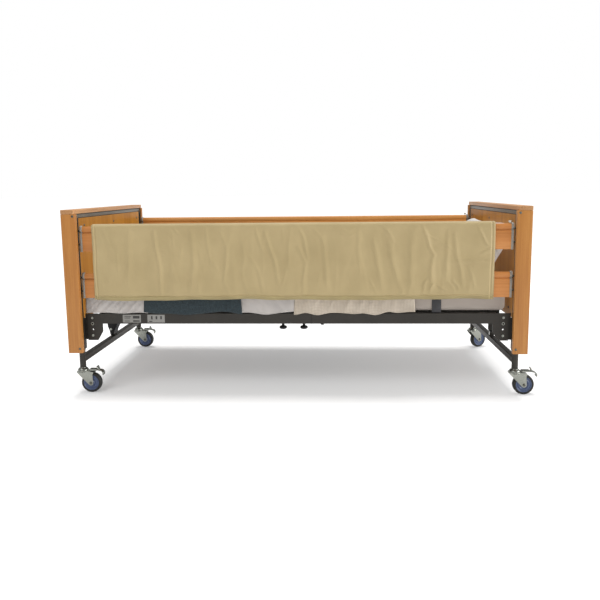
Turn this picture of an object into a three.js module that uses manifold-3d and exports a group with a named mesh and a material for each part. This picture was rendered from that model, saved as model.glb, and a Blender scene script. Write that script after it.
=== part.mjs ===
// Adjustable (profiling) care bed with beech ends, full-length side rails and braked castors.
// Millimetres, +Z up, +X towards the head end, +Y towards the far side, floor at Z = 0.
import * as THREE from 'three';
import { mergeVertices } from 'three/addons/utils/BufferGeometryUtils.js';
import Module from 'manifold-3d';

const wasm = await Module();
wasm.setup();

// ---------------------------------------------------------------- driving dimensions
const BED_LENGTH = 2200;
const BED_WIDTH = 1040;
const TOP_Z = 912;
const GAP = 0.3;                    // clearance between touching pieces

const WOOD_BOTTOM_Z = 217.5;
const POST_WIDTH = 69.5;            // along X
const POST_THICK = 24;              // along Y
const CAP_WIDTH = 62;
const CAP_THICK = 20;
const PANEL_BOTTOM_Z = 380;
const OUTER_PANEL_THICK = 15;
const INNER_PANEL_THICK = 7;
const INNER_PANEL_X = 1038.5;

const LEG_X = 1064;
const LEG_Y = 445;
const LEG_RADIUS = 15;
const LEG_TOP_Z = 800;
const LEG_CLEARANCE = 0.6;
const LEG_BAR_SIZE = 30;
const LEG_BAR_Z = 155;

const COLUMN_X0 = 1046;
const COLUMN_X1 = 1082;
const COLUMN_Y0 = 427;
const COLUMN_Y1 = 464.5;
const COLUMN_BOTTOM_Z = 222;
const TOP_RAIL_Z0 = 871;
const TOP_RAIL_Z1 = 891;
const TOP_RAIL_X0 = 1040;
const TIE_RAIL_Z0 = 385;
const TIE_RAIL_Z1 = 410;

const CHANNEL_X0 = 1038;
const CHANNEL_X1 = 1058;
const CHANNEL_Y0 = 463.5;
const CHANNEL_Y1 = 495.5;
const CHANNEL_WALL = 2.5;
const CHANNEL_SLOT = 12;

const CASTOR_HEIGHT = 127;
const WHEEL_RADIUS = 50;
const WHEEL_WIDTH = 30;
const WHEEL_TRAIL = 42;
const AXLE_RADIUS = 6;
const PEDAL_REACH = 106;
const FAR_HEAD_SWIVEL = Math.PI * 25 / 180;

const RAIL_Z0 = 350;                // chassis side tube
const RAIL_Z1 = 400;
const RAIL_Y0 = 420;
const RAIL_Y1 = 455;
const RAIL_END_X = 968;
const SPLIT_X = 81;                 // where the two chassis halves meet
const SLEEVE_REACH = 180;
const KNOB_X = [-57, 45];
const KNOB_Y = 437.5;
const PLATE_THICK = 6;
const PLATE_HOLE_X = 1000;
const PLATE_HOLE_Z = [379, 350, 320.5, 291];

const HINGE_Z = 396;
const BACK_HINGE_X = 190;
const THIGH_HINGE_X = -10;
const CALF_HINGE_X = -300;
const DECK_HALF_LENGTH = 990;
const DECK_TOP_Z = 409;
const SLAT_HALF_WIDTH = 418;

const MATTRESS_Z0 = 409.6;
const MATTRESS_Z1 = 530;
const MATTRESS_HALF_WIDTH = 445;
const MATTRESS_HALF_LENGTH = 1012;
const HINGE_MARGIN = Math.PI * 1.5 / 180;
const BACK_RANGE = Math.PI * 70 / 180;
const THIGH_RANGE = Math.PI * 30 / 180;

const BOARD_Y = 479;                // middle of the side rail boards
const BOARD_THICK = 22;
const BOARD_HEIGHT = 120;
const BOARD_Z = [485, 711];
const BOARD_END_X = 1014;
const END_CAP_X = 1025;
const PIN_RADIUS = 4.5;
const PIN_PITCH = 65;

const PAD_X0 = -962;
const PAD_X1 = 938;
const PAD_Z0 = 474;

// ---------------------------------------------------------------- solids
function solidOf(geometry) {
  const bare = geometry.index ? geometry.clone() : geometry;
  bare.deleteAttribute('normal');
  bare.deleteAttribute('uv');
  const merged = mergeVertices(bare, 1e-4);
  return new wasm.Manifold(new wasm.Mesh({
    numProp: 3,
    vertProperties: new Float32Array(merged.attributes.position.array),
    triVerts: new Uint32Array(merged.index.array),
  }));
}

function geometryOf(solid) {
  const mesh = solid.getMesh();
  const positions = new Float32Array(mesh.numVert * 3);
  for (let vertex = 0; vertex < mesh.numVert; vertex += 1) {
    for (let axis = 0; axis < 3; axis += 1) {
      positions[3 * vertex + axis] = mesh.vertProperties[mesh.numProp * vertex + axis];
    }
  }
  const geometry = new THREE.BufferGeometry();
  geometry.setAttribute('position', new THREE.BufferAttribute(positions, 3));
  geometry.setIndex(new THREE.BufferAttribute(new Uint32Array(mesh.triVerts), 1));
  geometry.computeVertexNormals();
  return geometry;
}

function union(solids) {
  return solids.reduce((whole, next) => whole.add(next));
}

function box(x0, x1, y0, y1, z0, z1) {
  const geometry = new THREE.BoxGeometry(Math.abs(x1 - x0), Math.abs(y1 - y0), Math.abs(z1 - z0));
  geometry.translate((x0 + x1) / 2, (y0 + y1) / 2, (z0 + z1) / 2);
  return solidOf(geometry);
}

const AXIS_TURN = {
  x: (geometry) => geometry.rotateZ(-Math.PI / 2),
  y: (geometry) => geometry,
  z: (geometry) => geometry.rotateX(Math.PI / 2),
};

// A round bar between two positions along one axis, centred on (a, b) in the other two.
function bar(axis, start, end, a, b, radius, sides = 20) {
  const geometry = new THREE.CylinderGeometry(radius, radius, Math.abs(end - start), sides);
  AXIS_TURN[axis](geometry);
  const middle = (start + end) / 2;
  const place = { x: [middle, a, b], y: [a, middle, b], z: [a, b, middle] }[axis];
  geometry.translate(...place);
  return solidOf(geometry);
}

// A flat outline drawn in X and Z, as thick as y0 to y1.
function plateXZ(points, y0, y1) {
  const shape = new THREE.Shape(points.map(([x, z]) => new THREE.Vector2(x, z)));
  const geometry = new THREE.ExtrudeGeometry(shape, { depth: Math.abs(y1 - y0), bevelEnabled: false });
  geometry.rotateX(Math.PI / 2);
  geometry.translate(0, Math.max(y0, y1), 0);
  return solidOf(geometry);
}

// A flat outline drawn in Y and Z, as long as x0 to x1.
function profileYZ(points, x0, x1) {
  const shape = new THREE.Shape(points.map(([y, z]) => new THREE.Vector2(y, z)));
  const geometry = new THREE.ExtrudeGeometry(shape, { depth: Math.abs(x1 - x0), bevelEnabled: false });
  geometry.rotateX(Math.PI / 2);
  geometry.rotateZ(Math.PI / 2);
  geometry.translate(Math.min(x0, x1), 0, 0);
  return solidOf(geometry);
}

// A closed outline of radius and height turned about the Y axis through (x, z).
function turnedY(points, x, z, sides) {
  const profile = points.map(([radius, height]) => new THREE.Vector2(radius, height));
  profile.push(profile[0].clone());
  const geometry = new THREE.LatheGeometry(profile, sides);
  geometry.translate(x, 0, z);
  return solidOf(geometry);
}

function arc(cx, cy, radius, from, to, steps) {
  const points = [];
  for (let step = 0; step <= steps; step += 1) {
    const angle = THREE.MathUtils.degToRad(from + (to - from) * step / steps);
    points.push([cx + radius * Math.cos(angle), cy + radius * Math.sin(angle)]);
  }
  return points;
}

// ---------------------------------------------------------------- the assembly
const bed = new THREE.Group();
const BEECH = [0xbf8d53, 0.45, 0.0];
const STEEL = [0x48443e, 0.5, 0.6];
const ZINC = [0x9a9d96, 0.35, 0.9];
const BLACK = [0x1d1c1b, 0.5, 0.0];

function place(name, solid, [colour, roughness, metalness]) {
  const material = new THREE.MeshStandardMaterial({ color: colour, roughness, metalness });
  const mesh = new THREE.Mesh(geometryOf(solid), material);
  mesh.name = name;
  bed.add(mesh);
  return mesh;
}

const ENDS = [['head', 1], ['foot', -1]];
const SIDES = [['near', -1], ['far', 1]];

// A box given by distances from the middle of the bed, towards one end.
function endBox(end, x0, x1, y0, y1, z0, z1) {
  return box(end * x0, end * x1, y0, y1, z0, z1);
}

// ---------------------------------------------------------------- wooden ends
function woodFrame(end) {
  const outer = BED_LENGTH / 2;
  const half = BED_WIDTH / 2;
  const pieces = [endBox(end, outer - CAP_WIDTH, outer, -half, half, TOP_Z - CAP_THICK, TOP_Z)];
  for (const [, side] of SIDES) {
    pieces.push(endBox(end, outer - POST_WIDTH, outer, side * (half - POST_THICK), side * half,
      WOOD_BOTTOM_Z, TOP_Z - CAP_THICK + 0.5));
  }
  return union(pieces);
}

function outerPanel(end) {
  const inner = BED_WIDTH / 2 - POST_THICK - GAP;
  const face = BED_LENGTH / 2 - 2;
  return endBox(end, face - OUTER_PANEL_THICK, face, -inner, inner,
    PANEL_BOTTOM_Z, TOP_Z - CAP_THICK - GAP);
}

function innerPanel(end) {
  return endBox(end, INNER_PANEL_X, INNER_PANEL_X + INNER_PANEL_THICK, -(CHANNEL_Y0 - 1),
    CHANNEL_Y0 - 1, PANEL_BOTTOM_Z, TOP_RAIL_Z0 - 1);
}

// ---------------------------------------------------------------- steel end frames
const LIFT_TUBE_RADIUS = 14;
const LIFT_ROD_RADIUS = 8;
const PLATE_HOLE_RADIUS = 5;
const ARM_X0 = 975;

function guideChannel(end, side) {
  const yMin = CHANNEL_Y0 + CHANNEL_WALL;
  const yMax = CHANNEL_Y1 - CHANNEL_WALL;
  const outer = endBox(end, CHANNEL_X0, CHANNEL_X1, side * CHANNEL_Y0, side * CHANNEL_Y1,
    COLUMN_BOTTOM_Z, TOP_RAIL_Z0 + 1);
  const hollow = endBox(end, CHANNEL_X0 + CHANNEL_WALL, CHANNEL_X1 - CHANNEL_WALL,
    side * yMin, side * yMax, COLUMN_BOTTOM_Z - 1, TOP_RAIL_Z0 - 10);
  const slot = endBox(end, CHANNEL_X0 - 1, CHANNEL_X0 + CHANNEL_WALL + 1,
    side * (BOARD_Y - CHANNEL_SLOT / 2), side * (BOARD_Y + CHANNEL_SLOT / 2),
    COLUMN_BOTTOM_Z - 1, TOP_RAIL_Z0 - 10);
  return outer.subtract(hollow).subtract(slot);
}

function chassisArm(end, side) {
  const outline = [[ARM_X0, 270], [COLUMN_X0 + 2, 270], [COLUMN_X0 + 2, PANEL_BOTTOM_Z - 2],
    [INNER_PANEL_X - 2, PANEL_BOTTOM_Z - 2], [INNER_PANEL_X - 2, RAIL_Z1], [ARM_X0, RAIL_Z1]];
  const y0 = side * (RAIL_Y1 - PLATE_THICK - 0.5);
  const y1 = side * (RAIL_Y1 - PLATE_THICK - 5.5);
  return plateXZ(outline.map(([x, z]) => [end * x, z]), y0, y1);
}

function steelFrame(end) {
  const reach = CHANNEL_Y1 - 1;
  const parts = [
    endBox(end, TOP_RAIL_X0, COLUMN_X1 - 2, -reach, reach, TOP_RAIL_Z0, TOP_RAIL_Z1),
    endBox(end, COLUMN_X0, COLUMN_X1 - 1, -COLUMN_Y0 - 1, COLUMN_Y0 + 1, TIE_RAIL_Z0, TIE_RAIL_Z1),
  ];
  for (const [, side] of SIDES) {
    parts.push(endBox(end, COLUMN_X0, COLUMN_X1, side * COLUMN_Y0, side * COLUMN_Y1,
      COLUMN_BOTTOM_Z, TOP_RAIL_Z0 + 1));
    parts.push(guideChannel(end, side));
    parts.push(chassisArm(end, side));
  }
  let frame = union(parts);
  for (const [, side] of SIDES) {
    frame = frame.subtract(bar('z', COLUMN_BOTTOM_Z - 5, LEG_TOP_Z + 40, end * LEG_X, side * LEG_Y,
      LEG_RADIUS + LEG_CLEARANCE, 24));
    for (const z of PLATE_HOLE_Z) {
      frame = frame.subtract(bar('y', side * (RAIL_Y1 + 2), side * (RAIL_Y1 - 20),
        end * PLATE_HOLE_X, z, PLATE_HOLE_RADIUS, 10));
    }
  }
  return frame.subtract(bar('z', TIE_RAIL_Z0 - 5, TIE_RAIL_Z1 + 5, end * LEG_X, 0,
    LIFT_TUBE_RADIUS + 0.6, 24));
}

// ---------------------------------------------------------------- leg frames and lift drives
const LUG_HALF_GAP = 9;
const LIFT_TUBE_TOP = 720;

function legFrame(end) {
  const parts = [endBox(end, LEG_X - LEG_BAR_SIZE / 2, LEG_X + LEG_BAR_SIZE / 2, -LEG_Y, LEG_Y,
    LEG_BAR_Z, LEG_BAR_Z + LEG_BAR_SIZE)];
  for (const [, side] of SIDES) {
    parts.push(bar('z', CASTOR_HEIGHT + GAP + 0.2, LEG_TOP_Z, end * LEG_X, side * LEG_Y, LEG_RADIUS, 24));
    parts.push(endBox(end, LEG_X - 12, LEG_X + 12, side * LUG_HALF_GAP, side * (LUG_HALF_GAP + 4),
      LEG_BAR_Z + LEG_BAR_SIZE - 1, LEG_BAR_Z + LEG_BAR_SIZE + 24));
  }
  return union(parts);
}

// The head drive hangs from the bed: gearbox, outer tube below it, guide tube above it.
function headLiftMotor() {
  const body = union([
    box(1030, 1096, -42, 42, 268, 345),
    box(COLUMN_X0 + 1, COLUMN_X1 - 1, -30, 30, 340, TIE_RAIL_Z0 - 0.5),
    box(1004, 1034, -22, 22, 275, 338),
    bar('z', 216, 270, LEG_X, 0, 18.5, 24),
    bar('z', 340, LIFT_TUBE_TOP, LEG_X, 0, LIFT_TUBE_RADIUS, 24),
  ]);
  return body.subtract(bar('z', 210, LIFT_TUBE_TOP - 10, LEG_X, 0, LIFT_ROD_RADIUS + 0.5, 20));
}

function headLiftRod() {
  return union([
    bar('z', 205, LIFT_TUBE_TOP - 30, LEG_X, 0, LIFT_ROD_RADIUS, 20),
    box(LEG_X - 11, LEG_X + 11, -LUG_HALF_GAP + 0.5, LUG_HALF_GAP - 0.5,
      LEG_BAR_Z + LEG_BAR_SIZE + 1, 212),
  ]);
}

// The foot drive stands on the leg frame: pointed gearbox below, guide tube above it.
function footLiftMotor() {
  const outline = [[-1052, 212], [-1076, 212], [-1098, 240], [-1098, 340],
    [-1006, 340], [-1006, 262], [-1034, 240]];
  const body = union([
    plateXZ(outline, -36, 36),
    box(-1075, -1053, -LUG_HALF_GAP + 0.5, LUG_HALF_GAP - 0.5, LEG_BAR_Z + LEG_BAR_SIZE + 1, 214),
    bar('z', 335, LIFT_TUBE_TOP, -LEG_X, 0, LIFT_TUBE_RADIUS, 24),
  ]);
  return body.subtract(bar('z', 290, LIFT_TUBE_TOP + 5, -LEG_X, 0, LIFT_ROD_RADIUS + 0.5, 20));
}

function footLiftRod() {
  return union([
    bar('z', 296, TOP_RAIL_Z0 - 15, -LEG_X, 0, LIFT_ROD_RADIUS, 20),
    box(-1078, -1050, -15, 15, TOP_RAIL_Z0 - 25, TOP_RAIL_Z0 - 0.4),
  ]);
}

// ---------------------------------------------------------------- castors
const FORK_PLATE_Y0 = 17.5;
const FORK_PLATE_Y1 = 20;
const FORK_TOP_Z = 110;

function castorFork() {
  const outline = [[-20, FORK_TOP_Z], [-17, 97], [27, 43], ...arc(WHEEL_TRAIL, 50, 13, 215, 345, 4),
    [54, 92], [50, FORK_TOP_Z - 5], [44, FORK_TOP_Z]];
  const cup = new THREE.LatheGeometry([[0, 104], [20, 104], [26, 110], [24, 119],
    [15, CASTOR_HEIGHT], [0, CASTOR_HEIGHT]].map(([r, z]) => new THREE.Vector2(r, z)), 18);
  cup.rotateX(Math.PI / 2);
  return union([
    plateXZ(outline, FORK_PLATE_Y0, FORK_PLATE_Y1),
    plateXZ(outline, -FORK_PLATE_Y1, -FORK_PLATE_Y0),
    box(-20, 44, -FORK_PLATE_Y1, FORK_PLATE_Y1, FORK_TOP_Z - 3, FORK_TOP_Z),
    bar('y', -FORK_PLATE_Y1 - 3, FORK_PLATE_Y1 + 3, WHEEL_TRAIL, 50, AXLE_RADIUS, 12),
    solidOf(cup),
  ]);
}

function castorWheel() {
  const half = WHEEL_WIDTH / 2;
  const side = [[AXLE_RADIUS + 0.4, half], [14, half], [34, half - 3], [43, half],
    [WHEEL_RADIUS, half - 6]];
  const outline = [...side.map(([radius, y]) => [radius, -y]), ...side.reverse()];
  return turnedY(outline, WHEEL_TRAIL, WHEEL_RADIUS, 32);
}

function castorPedal() {
  const outline = [[50, 111.5], [74, 111.5], [84, 108], [94, 98], [101, 86], [PEDAL_REACH, 87],
    [98, 102], [88, 112], [79, 116], [79, 128], [75.5, 128], [75.5, 115.5], [29, 115.5], [29, 111.5]];
  return plateXZ(outline, -15, 15);
}

function placeCastor(end, endName, side, sideName) {
  const castor = new THREE.Group();
  castor.position.set(end * LEG_X, side * LEG_Y, 0);
  if (endName === 'head' && sideName === 'far') {
    castor.rotation.z = FAR_HEAD_SWIVEL;
  }
  const prefix = `${endName}_${sideName}_castor`;
  castor.add(place(`${prefix}_fork`, castorFork(), ZINC));
  castor.add(place(`${prefix}_wheel`, castorWheel(), [0x34405a, 0.5, 0.0]));
  castor.add(place(`${prefix}_pedal`, castorPedal(), ZINC));
  bed.add(castor);
}

// ---------------------------------------------------------------- chassis
const CROSS_Z0 = 352;
const CROSS_Z1 = 380;
const CROSS_WIDTH = 30;
const TUBE_WALL = 2.5;
const DRIVE_Y = { back: 60, knee: 220 };
const DRIVE_Z = { back: 306, knee: 290 };

function cornerPlate(end, side) {
  const outline = [[926, RAIL_Z0], [950, RAIL_Z0], [950, 311], [976, 267], [1025, 267],
    [1025, RAIL_Z1], [926, RAIL_Z1]];
  return plateXZ(outline.map(([x, z]) => [end * x, z]), side * (RAIL_Y1 - PLATE_THICK), side * RAIL_Y1);
}

function driveLugs(x0, x1, y) {
  return [-1, 1].map((side) => box(x0, x1, y + side * 14, y + side * 18, 284, CROSS_Z0 + 1));
}

function chassisHalf(end, innerX, crossings, lugs) {
  const parts = [...lugs];
  for (const x of crossings) {
    parts.push(box(x, x + CROSS_WIDTH, -RAIL_Y0 - 1, RAIL_Y0 + 1, CROSS_Z0, CROSS_Z1));
  }
  for (const [, side] of SIDES) {
    const tube = box(innerX, end * RAIL_END_X, side * RAIL_Y0, side * RAIL_Y1, RAIL_Z0, RAIL_Z1);
    parts.push(tube.subtract(box(innerX - end * 5, end * (RAIL_END_X + 5), side * (RAIL_Y0 + TUBE_WALL),
      side * (RAIL_Y1 - TUBE_WALL), RAIL_Z0 + TUBE_WALL, RAIL_Z1 - TUBE_WALL)));
    parts.push(cornerPlate(end, side));
  }
  let half = union(parts);
  for (const [, side] of SIDES) {
    for (const z of PLATE_HOLE_Z) {
      half = half.subtract(bar('y', side * (RAIL_Y1 + 2), side * (RAIL_Y1 - PLATE_THICK - 2),
        end * PLATE_HOLE_X, z, PLATE_HOLE_RADIUS, 10));
    }
  }
  return half;
}

function headChassis() {
  const crossings = [320, 620, RAIL_END_X - CROSS_WIDTH];
  const half = chassisHalf(1, SPLIT_X, crossings, driveLugs(322, 346, DRIVE_Y.knee));
  const sleeves = SIDES.map(([, side]) => box(SPLIT_X - SLEEVE_REACH, SPLIT_X + 40,
    side * (RAIL_Y0 + TUBE_WALL + 0.5), side * (RAIL_Y1 - TUBE_WALL - 0.5),
    RAIL_Z0 + TUBE_WALL + 0.5, RAIL_Z1 - TUBE_WALL - 0.5));
  const blocks = SIDES.map(([, side]) => box(SPLIT_X + 30, SPLIT_X + 45, side * (RAIL_Y0 + 1),
    side * (RAIL_Y1 - 1), RAIL_Z0 + 1, RAIL_Z1 - 1));
  return union([half, ...sleeves, ...blocks]);
}

function footChassis() {
  const crossings = [42, -348, -640, -RAIL_END_X];
  let half = chassisHalf(-1, SPLIT_X - 0.4, crossings, driveLugs(-346, -322, DRIVE_Y.back));
  for (const [, side] of SIDES) {
    for (const x of KNOB_X) {
      half = half.subtract(bar('z', RAIL_Z0 - 3, RAIL_Z0 + TUBE_WALL + 0.4, x, side * KNOB_Y, 4.6, 12));
    }
  }
  return half;
}

function clampKnob() {
  const outline = [[0, -28], [15, -28], [19, -23], [17, -14], [6.5, -11.5], [6.5, -0.6],
    [4, -0.6], [4, TUBE_WALL], [0, TUBE_WALL]];
  const geometry = new THREE.LatheGeometry(outline.map(([r, z]) => new THREE.Vector2(r, z)), 14);
  geometry.rotateX(Math.PI / 2);
  return solidOf(geometry);
}

// ---------------------------------------------------------------- lying surface
const FRAME_Z0 = 386;
const FRAME_Z1 = 404.5;
const SLAT_WIDTH = 50;
const SLAT_PITCH = 105;
const HINGE_PIN_RADIUS = 6;
const EYE_RADIUS = 10;
const LEVER_TOP = -6;

function slats(x0, x1, bottomZ) {
  const count = Math.max(2, Math.round((x1 - x0 - SLAT_WIDTH) / SLAT_PITCH) + 1);
  const pitch = (x1 - x0 - SLAT_WIDTH) / (count - 1);
  const pieces = [];
  for (let index = 0; index < count; index += 1) {
    const start = x0 + index * pitch;
    pieces.push(box(start, start + SLAT_WIDTH, -SLAT_HALF_WIDTH, SLAT_HALF_WIDTH, bottomZ, DECK_TOP_Z));
  }
  return pieces;
}

function seatDeck() {
  const parts = slats(THIGH_HINGE_X + 26, BACK_HINGE_X - 26, RAIL_Z1 + 0.4);
  for (const [, side] of SIDES) {
    parts.push(box(THIGH_HINGE_X - 12, BACK_HINGE_X + 12, side * 400, side * 412, FRAME_Z0, FRAME_Z1));
    for (const x of [THIGH_HINGE_X, BACK_HINGE_X]) {
      parts.push(bar('y', side * 377, side * 401, x, HINGE_Z, HINGE_PIN_RADIUS, 12));
    }
  }
  return union(parts);
}

// Side bars with round eyes on the hinge pins, a cross tube at each end and slats on top.
function movingDeck(hingeX, farX, barY0, barY1, extras) {
  const way = Math.sign(farX - hingeX);
  const parts = slats(Math.min(hingeX + way * 16, farX), Math.max(hingeX + way * 16, farX), FRAME_Z1 - 0.5);
  for (const x of [hingeX + way * 16, farX - way * 20]) {
    parts.push(box(x, x + way * 20, -barY1, barY1, FRAME_Z0, FRAME_Z1));
  }
  for (const [, side] of SIDES) {
    parts.push(box(hingeX, farX, side * barY0, side * barY1, FRAME_Z0, FRAME_Z1));
    parts.push(bar('y', side * barY0, side * barY1, hingeX, HINGE_Z, EYE_RADIUS, 16));
  }
  let deck = union([...parts, ...extras]);
  for (const [, side] of SIDES) {
    deck = deck.subtract(bar('y', side * (barY0 - 1), side * (barY1 + 1), hingeX, HINGE_Z,
      HINGE_PIN_RADIUS + 0.4, 12));
  }
  return deck;
}

// A pair of drive levers hanging from a hinge, with a slot that the drive's pin runs in.
function driveLevers(hingeX, y, startAngle, slotFrom, slotTo, slotWidth) {
  const pieces = [];
  for (const side of [-1, 1]) {
    const plate = box(-slotWidth / 2 - 8, slotWidth / 2 + 8, side * 12, side * 16, -slotTo - 10, LEVER_TOP);
    const slot = box(-slotWidth / 2, slotWidth / 2, side * 11, side * 17, -slotTo, -slotFrom);
    pieces.push(plate.subtract(slot).rotate([0, startAngle, 0]).translate([hingeX, y, HINGE_Z]));
  }
  return pieces;
}

function backrestFrame() {
  const levers = driveLevers(BACK_HINGE_X, DRIVE_Y.back, 35, 82, 119, 20);
  const tie = box(BACK_HINGE_X - 10, BACK_HINGE_X + 34, DRIVE_Y.back - 20, DRIVE_Y.back + 20, 389, 404);
  return movingDeck(BACK_HINGE_X, DECK_HALF_LENGTH, 379, 398, [...levers, tie]);
}

function thighFrame() {
  const levers = driveLevers(THIGH_HINGE_X, DRIVE_Y.knee, -15, 97, 118, 14);
  const tie = box(THIGH_HINGE_X - 34, THIGH_HINGE_X + 8, DRIVE_Y.knee - 20, DRIVE_Y.knee + 20, 389, 404);
  const pins = SIDES.map(([, side]) => bar('y', side * 357, side * 381, CALF_HINGE_X, HINGE_Z,
    HINGE_PIN_RADIUS, 12));
  const cheeks = SIDES.map(([, side]) => bar('y', side * 379, side * 398, CALF_HINGE_X, HINGE_Z,
    EYE_RADIUS, 20));
  const barEnds = SIDES.map(([, side]) => box(CALF_HINGE_X, CALF_HINGE_X + 16, side * 379, side * 398,
    FRAME_Z0, FRAME_Z1));
  const extras = [...levers, tie, ...pins, ...cheeks, ...barEnds];
  return movingDeck(THIGH_HINGE_X, CALF_HINGE_X + 14, 379, 398, extras);
}

function calfFrame() {
  return movingDeck(CALF_HINGE_X, -DECK_HALF_LENGTH, 358, 377, []);
}

// ---------------------------------------------------------------- lying surface drives
function deckMotor(rearX, way, y, z, length) {
  const front = rearX + way * length;
  const body = union([
    box(rearX + way * 32, rearX + way * 150, y - 36, y + 36, z - 38, z + 34),
    box(rearX + way * 4, rearX + way * 36, y - 13, y + 13, z - 12, z + 12),
    bar('x', rearX + way * 145, front, y, z, 17, 20),
  ]);
  return body.subtract(bar('x', rearX + way * 160, front + way * 5, y, z, 9.5, 16));
}

function deckRod(way, startX, pinX, y, z) {
  return union([
    bar('x', startX, pinX - way * 6, y, z, 9, 16),
    box(pinX - way * 12, pinX + way * 9, y - 11, y + 11, z - 9, z + 9),
    bar('y', y - 18, y + 18, pinX, z, 5.5, 16),
  ]);
}

// ---------------------------------------------------------------- side rails
function boardOutline(bottom) {
  const half = BOARD_THICK / 2;
  const bead = bottom + BOARD_HEIGHT - 28;
  const crown = bottom + BOARD_HEIGHT - half;
  const right = [[half - 2, bottom], [half, bottom + 2], [half, bead - 5], [half - 3.5, bead - 1],
    [half - 3.5, bead + 1], [half, bead + 5], ...arc(0, crown, half, 0, 90, 5)];
  const left = right.slice(0, -1).reverse().map(([y, z]) => [-y, z]);
  return [...right, ...left];
}

function railBoard(side, bottom) {
  const outline = boardOutline(bottom).map(([y, z]) => [y + side * BOARD_Y, z]);
  return profileYZ(outline, -BOARD_END_X + 2, BOARD_END_X - 2);
}

// One steel fitting per rail end: a bent cap on each board, its guide pins and the slider they share.
function railFitting(end, side) {
  const y0 = BOARD_Y - BOARD_THICK / 2;
  const y1 = BOARD_Y + BOARD_THICK / 2;
  const parts = [];
  for (const bottom of BOARD_Z) {
    const cap = endBox(end, BOARD_END_X - 10, END_CAP_X, side * (y0 - 2), side * (y1 + 2),
      bottom - 1, bottom + BOARD_HEIGHT + 2);
    const pocket = endBox(end, BOARD_END_X - 30, BOARD_END_X - 1.5, side * (y0 - 0.4), side * (y1 + 0.4),
      bottom - 10, bottom + BOARD_HEIGHT + 10);
    parts.push(cap.subtract(pocket));
    for (const way of [-1, 1]) {
      const z = bottom + BOARD_HEIGHT / 2 + way * PIN_PITCH / 2 + 6;
      parts.push(bar('x', end * (END_CAP_X - 1), end * 1046, side * BOARD_Y, z, PIN_RADIUS, 10));
    }
  }
  parts.push(endBox(end, CHANNEL_X0 + CHANNEL_WALL + 1.5, CHANNEL_X1 - CHANNEL_WALL - 2,
    side * (BOARD_Y - 11), side * (BOARD_Y + 11), BOARD_Z[0] + 10, BOARD_Z[1] + BOARD_HEIGHT - 12));
  return union(parts);
}

function releaseCatch(side) {
  const top = BOARD_Z[1] + BOARD_HEIGHT;
  return box(1004, 1018, side * BOARD_Y - 6, side * BOARD_Y + 6, top + 5, top + 13);
}

// ---------------------------------------------------------------- soft parts
function bumperPad() {
  const top = BOARD_Z[1] + BOARD_HEIGHT;
  const outline = [[-503, PAD_Z0], [-491.5, PAD_Z0], [-491.5, top + 1], [-466.5, top + 1], [-466.5, PAD_Z0],
    [-458.5, PAD_Z0], [-458.5, top + 4], [-464, top + 10], [-497, top + 10], [-503, top + 4]];
  return profileYZ(outline, PAD_X0, PAD_X1);
}

// A length of foam whose ends lean away from the hinges that they must clear.
function foam(x0, x1, lean0, lean1) {
  const low = MATTRESS_Z0 - HINGE_Z;
  const high = MATTRESS_Z1 - HINGE_Z;
  const outline = [[x0 + lean0 * low, MATTRESS_Z0], [x1 - lean1 * low, MATTRESS_Z0],
    [x1 - lean1 * high, MATTRESS_Z1], [x0 + lean0 * high, MATTRESS_Z1]];
  return plateXZ(outline, -MATTRESS_HALF_WIDTH, MATTRESS_HALF_WIDTH);
}

// A layer of bedding over the mattress that hangs down both of its sides.
function cover(x0, x1, hemZ) {
  const inner = MATTRESS_HALF_WIDTH + 1.2;
  const outer = 455.5;
  const low = MATTRESS_Z1 + 0.6;
  const high = MATTRESS_Z1 + 7;
  const outline = [[-outer, hemZ], [-inner, hemZ], [-inner, low], [inner, low], [inner, hemZ],
    [outer, hemZ], [outer, high], [-outer, high]];
  return profileYZ(outline, x0, x1);
}

function pillow() {
  const turn = THREE.MathUtils.degToRad(59);
  const outline = arc(0, 0, 1, 0, 345, 23).map(([a, b]) => {
    const along = 165 * Math.sign(a) * Math.abs(a) ** 0.8;
    const across = 60 * b;
    return [935 + along * Math.cos(turn) - across * Math.sin(turn),
      680 + along * Math.sin(turn) + across * Math.cos(turn)];
  });
  return plateXZ(outline, -410, 190);
}

// ---------------------------------------------------------------- put together
for (const [endName, end] of ENDS) {
  place(`${endName}_wood_frame`, woodFrame(end), BEECH);
  place(`${endName}_outer_panel`, outerPanel(end), BEECH);
  place(`${endName}_inner_panel`, innerPanel(end), BEECH);
  place(`${endName}_steel_frame`, steelFrame(end), STEEL);
  place(`${endName}_leg_frame`, legFrame(end), STEEL);
  for (const [sideName, side] of SIDES) {
    placeCastor(end, endName, side, sideName);
  }
}
place('head_lift_motor', headLiftMotor(), BLACK);
place('head_lift_rod', headLiftRod(), ZINC);
place('foot_lift_motor', footLiftMotor(), BLACK);
place('foot_lift_rod', footLiftRod(), ZINC);

place('head_chassis', headChassis(), STEEL);
place('foot_chassis', footChassis(), STEEL);
for (const [sideName, side] of SIDES) {
  for (const [index, x] of KNOB_X.entries()) {
    const knob = place(`${sideName}_clamp_knob_${index + 1}`, clampKnob(), BLACK);
    knob.position.set(x, side * KNOB_Y, RAIL_Z0);
  }
}

place('seat_deck', seatDeck(), STEEL);
place('backrest_frame', backrestFrame(), STEEL);
place('thigh_frame', thighFrame(), STEEL);
place('calf_frame', calfFrame(), STEEL);
place('backrest_motor', deckMotor(-350, 1, DRIVE_Y.back, DRIVE_Z.back, 390), BLACK);
place('backrest_rod', deckRod(1, -120, 127, DRIVE_Y.back, DRIVE_Z.back), ZINC);
place('knee_motor', deckMotor(350, -1, DRIVE_Y.knee, DRIVE_Z.knee, 265), BLACK);
place('knee_rod', deckRod(-1, 185, 18.4, DRIVE_Y.knee, DRIVE_Z.knee), ZINC);

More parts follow.
